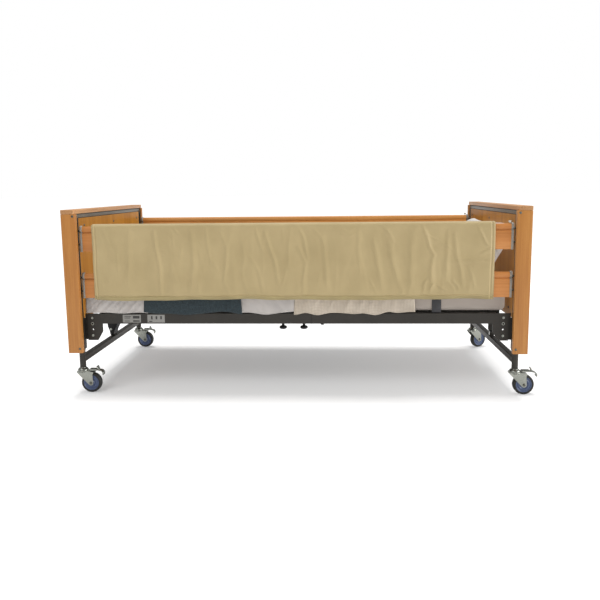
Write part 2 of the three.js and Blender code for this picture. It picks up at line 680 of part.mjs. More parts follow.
for (const [sideName, side] of SIDES) {
  place(`${sideName}_lower_board`, railBoard(side, BOARD_Z[0]), BEECH);
  place(`${sideName}_upper_board`, railBoard(side, BOARD_Z[1]), BEECH);
  for (const [endName, end] of ENDS) {
    place(`${sideName}_${endName}_rail_fitting`, railFitting(end, side), ZINC);
  }
  place(`${sideName}_rail_catch`, releaseCatch(side), [0xb9b6ae, 0.5, 0.0]);
}
place('bumper_pad', bumperPad(), [0xbdaa80, 0.85, 0.0]);

const FOAM = [0xa2968c, 0.85, 0.0];
const backLean = Math.tan(BACK_RANGE / 2 + HINGE_MARGIN);
const thighLean = Math.tan(THIGH_RANGE / 2 + HINGE_MARGIN);
const topHeight = MATTRESS_Z1 + 8 - HINGE_Z;
place('mattress_back', foam(BACK_HINGE_X, MATTRESS_HALF_LENGTH, backLean, 0), FOAM);
place('mattress_seat', foam(THIGH_HINGE_X, BACK_HINGE_X, thighLean, backLean), FOAM);
place('mattress_thigh', foam(CALF_HINGE_X + 1.5, THIGH_HINGE_X, 0, thighLean), FOAM);
place('mattress_calf', foam(-MATTRESS_HALF_LENGTH, CALF_HINGE_X - 1.5, 0, 0), FOAM);
place('foot_sheet', cover(-1008, -736, 412), [0xb8b2ae, 0.9, 0.0]);
place('teal_blanket', cover(-734, CALF_HINGE_X - 2, 412), [0x2d3b40, 0.95, 0.0]);
place('white_blanket', cover(CALF_HINGE_X + 2, THIGH_HINGE_X - thighLean * topHeight, 412),
  [0xbdb8b4, 0.9, 0.0]);
place('waffle_blanket', cover(BACK_HINGE_X + backLean * topHeight, 552, 412), [0xc4b7a7, 0.9, 0.0]);
place('pillow', pillow(), [0xd6d2cc, 0.9, 0.0]);

// The middle of the bed's own box on the floor is the origin, so the castor pedals' overhang is shared.
const overhang = LEG_X + PEDAL_REACH - BED_LENGTH / 2;
bed.position.x = -overhang / 2;
const part = new THREE.Group();
part.add(bed);

export default part;
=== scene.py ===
"""An adjustable care bed: beech ends, padded side rail, bedding and braked castors around its frame."""
import logging
import math
from dataclasses import dataclass
from enum import Enum
from typing import Iterable, Sequence

import bmesh
import bpy
import numpy as np
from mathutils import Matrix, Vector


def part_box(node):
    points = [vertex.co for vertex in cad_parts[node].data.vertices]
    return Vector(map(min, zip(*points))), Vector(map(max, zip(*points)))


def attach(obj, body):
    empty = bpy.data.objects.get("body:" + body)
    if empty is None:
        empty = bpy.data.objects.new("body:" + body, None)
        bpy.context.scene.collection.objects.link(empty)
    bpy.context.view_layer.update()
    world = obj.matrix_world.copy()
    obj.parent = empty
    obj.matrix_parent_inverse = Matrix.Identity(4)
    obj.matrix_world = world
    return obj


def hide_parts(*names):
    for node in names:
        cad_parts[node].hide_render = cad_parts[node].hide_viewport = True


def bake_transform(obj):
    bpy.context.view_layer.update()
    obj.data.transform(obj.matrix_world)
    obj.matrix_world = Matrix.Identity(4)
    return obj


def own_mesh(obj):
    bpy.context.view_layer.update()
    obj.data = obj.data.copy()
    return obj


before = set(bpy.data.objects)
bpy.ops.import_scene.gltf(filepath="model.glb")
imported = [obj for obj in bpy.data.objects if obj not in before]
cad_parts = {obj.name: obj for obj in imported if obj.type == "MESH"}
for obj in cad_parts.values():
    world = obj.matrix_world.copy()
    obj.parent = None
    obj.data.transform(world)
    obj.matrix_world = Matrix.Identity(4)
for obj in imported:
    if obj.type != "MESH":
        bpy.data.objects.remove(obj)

LOG = logging.getLogger("care_bed")
Array = np.ndarray
Point = tuple[float, float, float]

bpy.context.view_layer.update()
METRE = 0.001


def corner(node: str, high: bool) -> Array:
    """A CAD node's lowest or highest corner, in millimetres of the row frame."""
    return np.array(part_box(node)[1 if high else 0]) / METRE


# The bed's own middle, which all the lengths below are counted from, sits a little off the row frame's
# origin.
BED_MIDDLE_X = (corner("head_wood_frame", True)[0] + corner("foot_wood_frame", False)[0]) / 2
HALF_LENGTH = (corner("head_wood_frame", True)[0] - corner("foot_wood_frame", False)[0]) / 2
HALF_WIDTH = corner("head_wood_frame", True)[1]
TOP_Z = corner("head_wood_frame", True)[2]
WOOD_BOTTOM_Z = corner("head_wood_frame", False)[2]


def row(x: float, y: float, z: float) -> Point:
    """A point given in bed millimetres, as metres in the row frame."""
    return ((x + BED_MIDDLE_X) * METRE, y * METRE, z * METRE)


class End(Enum):
    """The two ends of the bed, with the direction of each along X."""
    HEAD = 1
    FOOT = -1

    @property
    def label(self) -> str:
        """The end's name as the nodes have it."""
        return self.name.lower()


class Side(Enum):
    """The two long sides of the bed, with the direction of each along Y."""
    NEAR = -1
    FAR = 1

    @property
    def label(self) -> str:
        """The side's name as the nodes have it."""
        return self.name.lower()


class Grain(Enum):
    """The axis that the wood's grain runs along."""
    X = 0
    Y = 1
    Z = 2


# ------------------------------------------------------------------ materials
def linear(hex_colour: str) -> tuple[float, float, float, float]:
    """Turns an sRGB hex colour to the linear RGBA that shaders take.

    Args:
        hex_colour: Six hex digits.

    Returns:
        The linear colour with an alpha of 1.
    """
    values = [int(hex_colour[i:i + 2], 16) / 255 for i in (0, 2, 4)]
    return tuple(v / 12.92 if v <= 0.04045 else ((v + 0.055) / 1.055) ** 2.4 for v in values) + (1.0,)


def add_node(tree: bpy.types.NodeTree, kind: str, inputs: dict | None = None,
             **settings: object) -> bpy.types.Node:
    """Adds one node to a tree, with its settings, values and links.

    Args:
        tree: The node tree.
        kind: The node's Blender type.
        inputs: Socket names or numbers, each with a value or with the output socket to link.
        settings: The node's own properties.

    Returns:
        The new node.
    """
    made = tree.nodes.new(kind)
    for key, value in settings.items():
        setattr(made, key, value)
    for key, value in (inputs or {}).items():
        if isinstance(value, bpy.types.NodeSocket):
            tree.links.new(value, made.inputs[key])
        else:
            made.inputs[key].default_value = value
    return made


def ramp(tree: bpy.types.NodeTree, source: bpy.types.NodeSocket,
         stops: Sequence[tuple[float, str]]) -> bpy.types.NodeSocket:
    """Colours a value by a ramp of hex colours and returns the colour socket."""
    made = add_node(tree, "ShaderNodeValToRGB", {"Fac": source})
    elements = made.color_ramp.elements
    while len(elements) < len(stops):
        elements.new(0.5)
    for element, (position, colour) in zip(elements, stops):
        element.position = position
        element.color = linear(colour)
    return made.outputs["Color"]


@dataclass(frozen=True)
class Finish:
    """What every finish shares: a name, a shader surface and one finished material for each name."""
    name: str

    def shader(self, tree: bpy.types.NodeTree, principled: bpy.types.Node) -> None:
        """Adds the finish's own nodes to its principled shader."""
        raise NotImplementedError

    def material(self) -> bpy.types.Material:
        """The finish's material, made the first time that it is asked for."""
        found = bpy.data.materials.get(self.name)
        if found is not None:
            return found
        made = bpy.data.materials.new(self.name)
        made.use_nodes = True
        tree = made.node_tree
        tree.nodes.clear()
        principled = add_node(tree, "ShaderNodeBsdfPrincipled")
        add_node(tree, "ShaderNodeOutputMaterial", {"Surface": principled.outputs[0]})
        self.shader(tree, principled)
        return made

    @staticmethod
    def pattern(tree: bpy.types.NodeTree, scale: tuple[float, float, float]) -> bpy.types.NodeSocket:
        """Object coordinates in metres, stretched by scale."""
        place = add_node(tree, "ShaderNodeTexCoord")
        return add_node(tree, "ShaderNodeMapping", {"Vector": place.outputs["Object"],
                                                    "Scale": scale}).outputs[0]

    @staticmethod
    def noise(tree: bpy.types.NodeTree, vector: bpy.types.NodeSocket, scale: float,
              detail: float = 3.0) -> bpy.types.NodeSocket:
        """Noise with so many features to the metre."""
        return add_node(tree, "ShaderNodeTexNoise",
                        {"Vector": vector, "Scale": scale, "Detail": detail}).outputs["Fac"]

    @staticmethod
    def bump(tree: bpy.types.NodeTree, principled: bpy.types.Node, height: bpy.types.NodeSocket,
             distance_mm: float,
             strength: float = 1.0) -> None:
        """Bumps the surface by a height pattern whose full depth is distance_mm."""
        bumped = add_node(tree, "ShaderNodeBump", {"Height": height, "Distance": distance_mm * METRE,
                                                   "Strength": strength})
        tree.links.new(bumped.outputs[0], principled.inputs["Normal"])


@dataclass(frozen=True)
class Beech(Finish):
    """Steamed beech, planed and satin lacquered: straight fine grain, dark ray flecks and slow bands.

    The figure is 9 mm wide and about 25 times as long, and the flecks are drawn 3 mm wide, coarser than
    real ones.
    """
    grain: Grain
    dark: str = "9B6229"
    middle: str = "AD7538"
    light: str = "BA8545"
    gloss: float = 0.35

    def shader(self, tree: bpy.types.NodeTree, principled: bpy.types.Node) -> None:
        """Bands, grain and flecks in the colour, and the same grain as a slight relief."""
        stretched = [1.0, 1.0, 1.0]
        stretched[self.grain.value] = 0.04
        along = self.pattern(tree, tuple(stretched))
        bands = self.noise(tree, along, 16, 2)
        lines = self.noise(tree, along, 110, 4)
        stretched[self.grain.value] = 0.2
        flecks = self.noise(tree, self.pattern(tree, tuple(stretched)), 330, 1)
        mixed = add_node(tree, "ShaderNodeMix", {"Factor": 0.42, 2: bands, 3: lines}, data_type="FLOAT")
        wood = ramp(tree, mixed.outputs[0], [(0.3, self.dark), (0.5, self.middle), (0.68, self.light)])
        marked = add_node(tree, "ShaderNodeMapRange",
                          {"Value": flecks, "From Min": 0.62, "From Max": 0.72, "To Max": 0.35})
        shade = add_node(tree, "ShaderNodeMix", {"Factor": marked.outputs[0], 6: wood,
                                                 7: linear(self.dark)}, data_type="RGBA")
        tree.links.new(shade.outputs[2], principled.inputs["Base Color"])
        rough = add_node(tree, "ShaderNodeMapRange", {"Value": lines, "To Min": 0.34, "To Max": 0.5})
        tree.links.new(rough.outputs[0], principled.inputs["Roughness"])
        principled.inputs["Coat Weight"].default_value = self.gloss / 6
        principled.inputs["Coat Roughness"].default_value = 0.3
        principled.inputs["Specular IOR Level"].default_value = self.gloss
        self.bump(tree, principled, lines, 0.25)


@dataclass(frozen=True)
class Speckled(Finish):
    """A plain surface whose colour, roughness and relief wander a little, such as paint or rubber."""
    dark: str
    light: str
    roughness: float
    metallic: float = 0.0
    grit_mm: float = 4.0
    relief_mm: float = 0.05
    specular: float = 0.5

    def shader(self, tree: bpy.types.NodeTree, principled: bpy.types.Node) -> None:
        """Fine grit over slow clouds."""
        place = self.pattern(tree, (1.0, 1.0, 1.0))
        grit = self.noise(tree, place, 1 / (self.grit_mm * METRE), 2)
        clouds = self.noise(tree, place, 9, 3)
        mixed = add_node(tree, "ShaderNodeMix", {"Factor": 0.5, 2: grit, 3: clouds}, data_type="FLOAT")
        colour = ramp(tree, mixed.outputs[0], [(0.35, self.dark), (0.65, self.light)])
        tree.links.new(colour, principled.inputs["Base Color"])
        rough = add_node(tree, "ShaderNodeMapRange", {"Value": clouds, "To Min": self.roughness - 0.07,
                                                      "To Max": self.roughness + 0.07})
        tree.links.new(rough.outputs[0], principled.inputs["Roughness"])
        principled.inputs["Metallic"].default_value = self.metallic
        principled.inputs["Specular IOR Level"].default_value = self.specular
        self.bump(tree, principled, grit, self.relief_mm)


class Weave(Enum):
    """How a cloth is made, which sets its relief."""
    PLAIN = "plain"
    WAFFLE = "waffle"
    FLEECE = "fleece"
    RIBBED = "ribbed"


@dataclass(frozen=True)
class Cloth(Finish):
    """Cloth drawn on the piece's own UV map, which is in metres along its threads.

    The pitch is the real distance between threads or cells, drawn no finer than 3 mm, which is what still
    shows.
    """
    dark: str
    light: str
    weave: Weave = Weave.PLAIN
    pitch_mm: float = 3.0
    relief_mm: float = 0.3
    roughness: float = 0.8
    sheen: float = 0.25
    mottle: float = 14.0

    def shader(self, tree: bpy.types.NodeTree, principled: bpy.types.Node) -> None:
        """Crossed or single waves for the threads over a slow mottle of the colour."""
        place = add_node(tree, "ShaderNodeUVMap", uv_map="threads").outputs[0]
        clouds = self.noise(tree, place, self.mottle, 4)
        if self.weave is Weave.FLEECE:
            threads = self.noise(tree, place, 1 / (self.pitch_mm * METRE), 3)
        else:
            # One wave node spans 2 pi / 20 of its scaled length, so the scale is worked out from the pitch.
            scale = 0.314 / (self.pitch_mm * METRE)
            across = add_node(tree, "ShaderNodeTexWave", {"Vector": place, "Scale": scale},
                              bands_direction="X")
            along = add_node(tree, "ShaderNodeTexWave", {"Vector": place, "Scale": scale},
                             bands_direction="Y")
            if self.weave is Weave.RIBBED:
                threads = along.outputs["Fac"]
            else:
                joined = "MULTIPLY" if self.weave is Weave.WAFFLE else "ADD"
                threads = add_node(tree, "ShaderNodeMath",
                                   {0: across.outputs["Fac"], 1: along.outputs["Fac"]},
                                   operation=joined).outputs[0]
        share = {Weave.FLEECE: 0.7, Weave.WAFFLE: 0.4}.get(self.weave, 0.15)
        mixed = add_node(tree, "ShaderNodeMix", {"Factor": share, 2: clouds, 3: threads}, data_type="FLOAT")
        colour = ramp(tree, mixed.outputs[0], [(0.25, self.dark), (0.75, self.light)])
        tree.links.new(colour, principled.inputs["Base Color"])
        principled.inputs["Roughness"].default_value = self.roughness
        principled.inputs["Sheen Weight"].default_value = self.sheen
        principled.inputs["Sheen Roughness"].default_value = 0.5
        self.bump(tree, principled, threads, self.relief_mm)


# Steamed beech, planed or moulded and satin lacquered: warm, straight grained, with a low even gloss.
POST_BEECH = Beech("beech_planed_upright", Grain.Z)
CAP_BEECH = Beech("beech_planed_across", Grain.Y, "A87648", "BA895C", "C89B6E")
# Painted light: the far rail's boards are the same beech as the near ones, drawn lighter to stand for light
# on their faces.
LIT_FAR_BOARD_BEECH = Beech("beech_moulded_pale_boards", Grain.X, "B87C3E", "CC8F4C", "DCA35E")
BOARD_BEECH = Beech("beech_moulded_boards", Grain.X, "A2672F", "B4763C", "C2874C")
PANEL_BEECH = Beech("beech_veneer_inside", Grain.Z, "9A6420", "AC7328", "B98133", 0.12)
BACK_BEECH = Beech("beech_veneer_outside", Grain.Z, "A0682E", "B17A3D", "BC894A")
END_GRAIN = Speckled("beech_end_grain", "97693F", "AE8152", 0.55, grit_mm=3.0, relief_mm=0.15)
# Powder-coated and plated steel: the coat is near black and softly matt, the zinc grey, bright and a
# little cloudy.
POWDER_COAT = Speckled("steel_powder_coated", "24211C", "302C27", 0.5, 0.0, grit_mm=3.0, relief_mm=0.08,
                       specular=0.35)
# Grey much lighter than the rail's near-black coat: a painted reflection on the top rail's face strip.
TOP_RAIL_REFLECTION_STEEL = Speckled("steel_brushed_top_rail", "615D54", "7E796F", 0.38, 0.5, grit_mm=5.0, relief_mm=0.05)
ZINC = Speckled("steel_zinc_plated", "868881", "989A93", 0.3, 1.0, grit_mm=5.0, relief_mm=0.08)
DARK_ZINC = Speckled("steel_zinc_in_shade", "55544D", "76756D", 0.38, 1.0, grit_mm=4.0, relief_mm=0.08)
ROD_STEEL = Speckled("steel_ground_rod", "B5B6B2", "CFCFCB", 0.2, 1.0, grit_mm=6.0, relief_mm=0.02)
CAP_STEEL = Speckled("steel_grey_lacquered", "7C7972", "928F87", 0.38, 0.35, grit_mm=4.0)
# Moulded plastic, nylon and rubber: deep even colour, with fine grit that breaks the highlights.
BLACK_PLASTIC = Speckled("plastic_black_moulded", "0B0A0A", "181716", 0.42, 0.0, grit_mm=2.5, relief_mm=0.1,
                         specular=0.2)
CATCH_PLASTIC = Speckled("plastic_grey_moulded", "B3B0A8", "C9C6BE", 0.4, 0.0)
TREAD_RUBBER = Speckled("rubber_black_tread", "0D0D0A", "191914", 0.6, 0.0, grit_mm=2.0, relief_mm=0.12)
HUB_BLUE = Speckled("nylon_slate_blue", "3A4663", "4A5878", 0.4, 0.0, grit_mm=4.0)
LABEL_FILM = Speckled("film_printed_pale", "75736E", "868480", 0.35, 0.0)
LABEL_INK = Speckled("film_printed_bars", "1E1C19", "2B2926", 0.4, 0.0)
# Woven, knitted and coated cloth: the coated pad has a soft gloss, cotton and fleece have none.
PAD_COVER = Cloth("polyester_coated_khaki", "9C8A60", "AC996F", Weave.PLAIN, 3.0, 0.12, 0.62, 0.1, 7.0)
# Darker khaki: the finish of the piping, and painted shade where it is put on the turned-up hem.
PAD_BINDING_AND_HEM_SHADE = Cloth("polyester_binding_khaki", "8C7C54", "A39364", Weave.RIBBED, 3.0, 0.2, 0.65, 0.2, 9.0)
MATTRESS_COVER = Cloth("stretch_cover_grey_beige", "8E837A", "9F958C", Weave.PLAIN, 3.0, 0.12, 0.6, 0.15,
                       6.0)
WHITE_COTTON = Cloth("cotton_white_sheet", "A19B97", "B5B0AC", Weave.PLAIN, 3.0, 0.2, 0.85, 0.2, 11.0)
# Painted shade: the white pillow's cotton is drawn greyer for the shade it lies in.
SHADED_PILLOW_COTTON = Cloth("cotton_white_pillow", "B4AFAA", "C9C5C0", Weave.PLAIN, 3.0, 0.2, 0.85, 0.2, 9.0)
TEAL_FLEECE = Cloth("fleece_dark_teal", "070B0D", "334248", Weave.FLEECE, 6.0, 0.9, 0.95, 0.15, 60.0)
CREAM_WAFFLE = Cloth("cotton_cream_waffle", "A89C8C", "CCC1B2", Weave.WAFFLE, 7.0, 0.8, 0.9, 0.15, 10.0)
STRAP_WEB = Cloth("webbing_dark_grey", "27272A", "37373B", Weave.RIBBED, 3.0, 0.3, 0.7, 0.1, 20.0)


# ------------------------------------------------------------------ surfaces
class Skin:
    """One mesh being gathered, in bed millimetres, with its faces and its UVs in metres."""

    def __init__(self) -> None:
        """Starts an empty mesh."""
        self.points: list[Array] = []
        self.faces: list[tuple[int, ...]] = []
        self.uvs: list[Array] = []
        self.materials: list[Array] = []
        self.count = 0

    def grid(self, points: Array, uv: Array | None = None, wrap: bool = False, caps: bool = False,
             index: int = 0) -> None:
        """Adds a grid of quads.

        Args:
            points: Shape (rings, around, 3).
            uv: Shape (rings, around + wrap, 2) in metres, or None for UVs measured along the grid.
            wrap: Whether each ring is closed.
            caps: Whether the first and last rings are closed with a face each.
            index: The material's number.
        """
        rings, around = points.shape[:2]
        uv = measured_uv(points, wrap) if uv is None else uv
        ring, step = np.meshgrid(np.arange(rings - 1), np.arange(around if wrap else around - 1),
                                 indexing="ij")
        following = (step + 1) % around
        corners = np.stack([ring * around + step, ring * around + following,
                            (ring + 1) * around + following,
                            (ring + 1) * around + step], -1).reshape(-1, 4) + self.count
        maps = np.stack([uv[ring, step], uv[ring, step + 1], uv[ring + 1, step + 1], uv[ring + 1, step]], 2)
        self.faces += [tuple(face) for face in corners.tolist()]
        self.uvs.append(maps.reshape(-1, 2))
        self.materials.append(np.full(len(corners), index))
        if caps:
            for first in (0, rings - 1):
                face = np.arange(around) + first * around + self.count
                self.faces.append(tuple(face.tolist()))
                self.uvs.append(uv[first, :around])
                self.materials.append(np.array([index]))
        self.points.append(points.reshape(-1, 3))
        self.count += rings * around

    def strip(self, first: Array, second: Array, index: int = 0) -> None:
        """Closes the gap between two rows of points that are already in the mesh, given by their numbers."""
        quads = np.stack([first[:-1], first[1:], second[1:], second[:-1]], -1)
        self.faces += [tuple(face) for face in quads.tolist()]
        self.uvs.append(np.zeros((4 * len(quads), 2)))
        self.materials.append(np.full(len(quads), index))

    def piece(self, name: str, *finishes: Finish, smooth: float | None = 40.0) -> bpy.types.Object:
        """Makes the object.

        Args:
            name: The piece's name.
            finishes: Its finishes, in the order of the material numbers.
            smooth: The greatest angle in degrees between faces that are shaded smooth, or None for flat
            faces.

        Returns:
            The new object, at the origin, with its place in its mesh.
        """
        points = np.concatenate(self.points)
        placed = (points + np.array([BED_MIDDLE_X, 0, 0])) * METRE
        mesh = bpy.data.meshes.new(name)
        mesh.from_pydata(placed.tolist(), [], self.faces)
        layer = mesh.uv_layers.new(name="threads")
        layer.data.foreach_set("uv", np.concatenate(self.uvs).astype(np.float32).ravel())
        for finish in finishes:
            mesh.materials.append(finish.material())
        mesh.polygons.foreach_set("material_index", np.concatenate(self.materials).astype(np.int32))
        work = bmesh.new()
        work.from_mesh(mesh)
        bmesh.ops.recalc_face_normals(work, faces=work.faces)
        work.to_mesh(mesh)
        work.free()
        if smooth is not None:
            mesh.shade_smooth()
            mesh.set_sharp_from_angle(angle=math.radians(smooth))
        mesh.validate()
        made = bpy.data.objects.new(name, mesh)
        bpy.context.scene.collection.objects.link(made)
        return made


def measured_uv(points: Array, wrap: bool) -> Array:
    """UVs in metres, counted along the grid's middle ring and middle column."""
    rings, around = points.shape[:2]
    closed = np.concatenate([points, points[:, :1]], 1) if wrap else points
    along = np.linalg.norm(np.diff(closed[:, around // 2], axis=0), axis=1)
    across = np.linalg.norm(np.diff(closed[rings // 2], axis=0), axis=1)
    u = np.concatenate([[0], np.cumsum(across)]) * METRE
    v = np.concatenate([[0], np.cumsum(along)]) * METRE
    return np.stack(np.meshgrid(v, u, indexing="ij")[::-1], -1)


def rounded(points: Sequence[Sequence[float]], radius: float, steps: int = 4, closed: bool = True) -> Array:
    """Rounds the corners of an outline with a quadratic curve that leaves each side radius from the corner.

    Args:
        points: The outline's corners.
        radius: The distance from a corner at which its curve starts, at most 0.48 of a side.
        steps: Pieces in each curve.
        closed: Whether the outline closes on itself; an open one keeps its end points.

    Returns:
        The rounded outline, shape (n, dimensions).
    """
    corners = np.array(points, float)
    before, after = np.roll(corners, 1, 0), np.roll(corners, -1, 0)
    t = np.linspace(0, 1, steps + 1)[:, None]
    result = []
    for number, (p, c, n) in enumerate(zip(before, corners, after)):
        if not closed and number in (0, len(corners) - 1):
            result.append(c[None])
            continue
        lengths = np.linalg.norm(p - c), np.linalg.norm(n - c)
        reach = min(radius, 0.48 * min(lengths))
        start, end = c + (p - c) * reach / lengths[0], c + (n - c) * reach / lengths[1]
        result.append((1 - t) ** 2 * start + 2 * t * (1 - t) * c + t ** 2 * end)
    return np.concatenate(result)


def run_along(line: Array) -> Array:
    """The length from a line's first point to each of its points."""
    return np.concatenate([[0], np.cumsum(np.linalg.norm(np.diff(line, axis=0), axis=1))])


def resampled(line: Array, steps: Array) -> Array:
    """The points of a line in two dimensions at given lengths along it."""
    lengths = run_along(line)
    return np.stack([np.interp(steps, lengths, line[:, k]) for k in (0, 1)], -1)


def directions(line: Array) -> Array:
    """The unit direction of a line at each of its points."""
    tangent = np.gradient(line, axis=0)
    return tangent / np.linalg.norm(tangent, axis=1, keepdims=True)


def inset(outline: Array, distance: float) -> Array:
    """Moves a closed outline inwards along the mean of its two sides' normals at each point."""
    ahead = np.roll(outline, -1, 0) - outline
    normals = np.stack([ahead[:, 1], -ahead[:, 0]], -1)
    normals /= np.maximum(np.linalg.norm(normals, axis=1, keepdims=True), 1e-9)
    mean = normals + np.roll(normals, 1, 0)
    mean /= np.maximum(np.linalg.norm(mean, axis=1, keepdims=True), 1e-9)
    area = np.sum(outline[:, 0] * np.roll(outline[:, 1], -1) - np.roll(outline[:, 0], -1) * outline[:, 1])
    return outline - mean * distance * np.sign(area)


def extruded(skin: Skin, outline: Array, axis: int, start: float, end: float, edge: float = 1.0,
             index: int = 0,
             cap_index: int | None = None) -> None:
    """Carries an outline along one axis, with its end edges rounded by edge.

    Args:
        skin: The mesh to add to.
        outline: Shape (n, 2), in the other two axes in their order.
        axis: 0, 1 or 2 for X, Y or Z.
        start: Where the first end is.
        end: Where the last end is.
        edge: The end edges' radius.
        index: The material's number.
        cap_index: The end faces' material, or None for the same one.
    """
    way = math.copysign(1.0, end - start)
    turns = [math.radians(a) for a in (0, 30, 60, 90)]
    stations = [(start + way * edge * (1 - math.sin(a)), edge * (1 - math.cos(a))) for a in reversed(turns)]
    stations += [(end - way * edge * (1 - math.sin(a)), edge * (1 - math.cos(a))) for a in turns]
    rings = []
    for position, depth in stations:
        ring = inset(outline, depth) if depth else outline
        rings.append(np.insert(ring, axis, position, axis=1))
    grid = np.array(rings)
    first = len(skin.materials)
    skin.grid(grid, wrap=True, caps=True, index=index)
    if cap_index is not None:
        for number in (first + 1, first + 2):
            skin.materials[number] = np.array([cap_index])


def block(skin: Skin, low: Sequence[float], high: Sequence[float], axis: int, radius: float = 2.0,
          edge: float | None = None,
          index: int = 0, cap_index: int | None = None) -> None:
    """Adds a bar with a rounded rectangle as its section, carried along an axis from low to high."""
    others = [a for a in range(3) if a != axis]
    (a0, a1), (b0, b1) = [(low[a], high[a]) for a in others]
    outline = rounded([(a0, b0), (a1, b0), (a1, b1), (a0, b1)], radius)
    extruded(skin, outline, axis, low[axis], high[axis], radius if edge is None else edge, index, cap_index)


def turned(skin: Skin, profile: Array, centre: Sequence[float], axis: int, sides: int = 40,
           index: int = 0) -> None:
    """Turns a profile of (radius, height) about an axis. Radius 0 at an end closes it in a small cap."""
    angles = np.linspace(0, 2 * math.pi, sides, endpoint=False)
    radius = np.maximum(profile[:, 0], 0.01)[:, None]
    height = np.broadcast_to(profile[:, 1][:, None], (len(profile), sides))
    circle = [radius * np.cos(angles), radius * np.sin(angles)]
    columns = {0: [height, *circle], 1: [circle[0], height, circle[1]], 2: [*circle, height]}[axis]
    skin.grid(np.stack(columns, -1) + np.array(centre, float), wrap=True, caps=True, index=index)


def ring_turned(skin: Skin, outline: Array, centre: Sequence[float], axis: int, sides: int = 48,
                index: int = 0) -> None:
    """Turns a closed outline of (radius, height) about an axis, for a ring with a hole."""
    angles = np.linspace(0, 2 * math.pi, sides + 1)
    radius = outline[:, 0][None]
    height = np.broadcast_to(outline[:, 1][None], (sides + 1, len(outline)))
    circle = [np.cos(angles)[:, None] * radius, np.sin(angles)[:, None] * radius]
    columns = {0: [height, *circle], 1: [circle[0], height, circle[1]], 2: [*circle, height]}[axis]
    points = np.stack(columns, -1) + np.array(centre, float)
    uv = measured_uv(points, True)
    base = skin.count
    skin.grid(points[:-1], uv[:-1], wrap=True, index=index)
    around = len(outline)
    last = np.append(np.arange(around), 0) + base + (sides - 1) * around
    skin.strip(last, np.append(np.arange(around), 0) + base, index)


def rod(skin: Skin, start: Sequence[float], axis: int, length: float, radius: float, edge: float = 0.8,
        index: int = 0,
        sides: int = 32) -> None:
    """Adds a round bar with softened ends, from start along an axis."""
    profile = rounded([(0, 0), (radius, 0), (radius, length), (0, length)], edge, 3, closed=False)
    turned(skin, profile, start, axis, sides, index)


def install(piece: bpy.types.Object, body: str, slot: str, *nodes: str) -> bpy.types.Object:
    """Puts a finished piece on its body, hides the CAD nodes it stands for, and reports it."""
    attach(piece, body)
    return dressed(piece, slot, *nodes)


def dressed(piece: bpy.types.Object, slot: str, *nodes: str) -> bpy.types.Object:
    """Hides the CAD nodes that a piece stands for, and reports the piece."""
    if nodes:
        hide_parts(*nodes)
    LOG.info("%s: %d faces", piece.name, len(piece.data.polygons))
    return piece


def repaint(finish: Finish, nodes: Iterable[str]) -> None:
    """Gives CAD nodes that keep their shape their finish."""
    for node in nodes:
        for material_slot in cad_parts[node].material_slots:
            material_slot.material = finish.material()
        LOG.info("%s keeps its shape, in %s", node, finish.name)


class Ripple:
    """A smooth random height: a sum of waves whose directions, lengths and phases come from a seed."""

    def __init__(self, seed: int, lengths: tuple[float, float], waves: int = 14, lean: float = 1.0) -> None:
        """Draws the waves.

        Args:
            seed: The random seed.
            lengths: The shortest and longest wave in millimetres.
            waves: How many waves are added.
            lean: How far the waves' crests may turn from the second axis, 1 for any direction.
        """
        draw = np.random.default_rng(seed)
        lengths_drawn = draw.uniform(*lengths, waves)
        angle = draw.uniform(-math.pi / 2, math.pi / 2, waves) * lean
        self.a = 2 * math.pi * np.cos(angle) / lengths_drawn
        self.b = 2 * math.pi * np.sin(angle) / lengths_drawn
        self.phase = draw.uniform(0, 2 * math.pi, waves)
        self.size = 1 / math.sqrt(waves)

    def __call__(self, u: Array, v: Array) -> Array:
        """The height at u and v in millimetres, about -1 to 1."""
        total = np.zeros(np.broadcast(u, v).shape)
        for a, b, phase in zip(self.a, self.b, self.phase):
            total += np.sin(a * u + b * v + phase)
        return total * self.size * 1.3


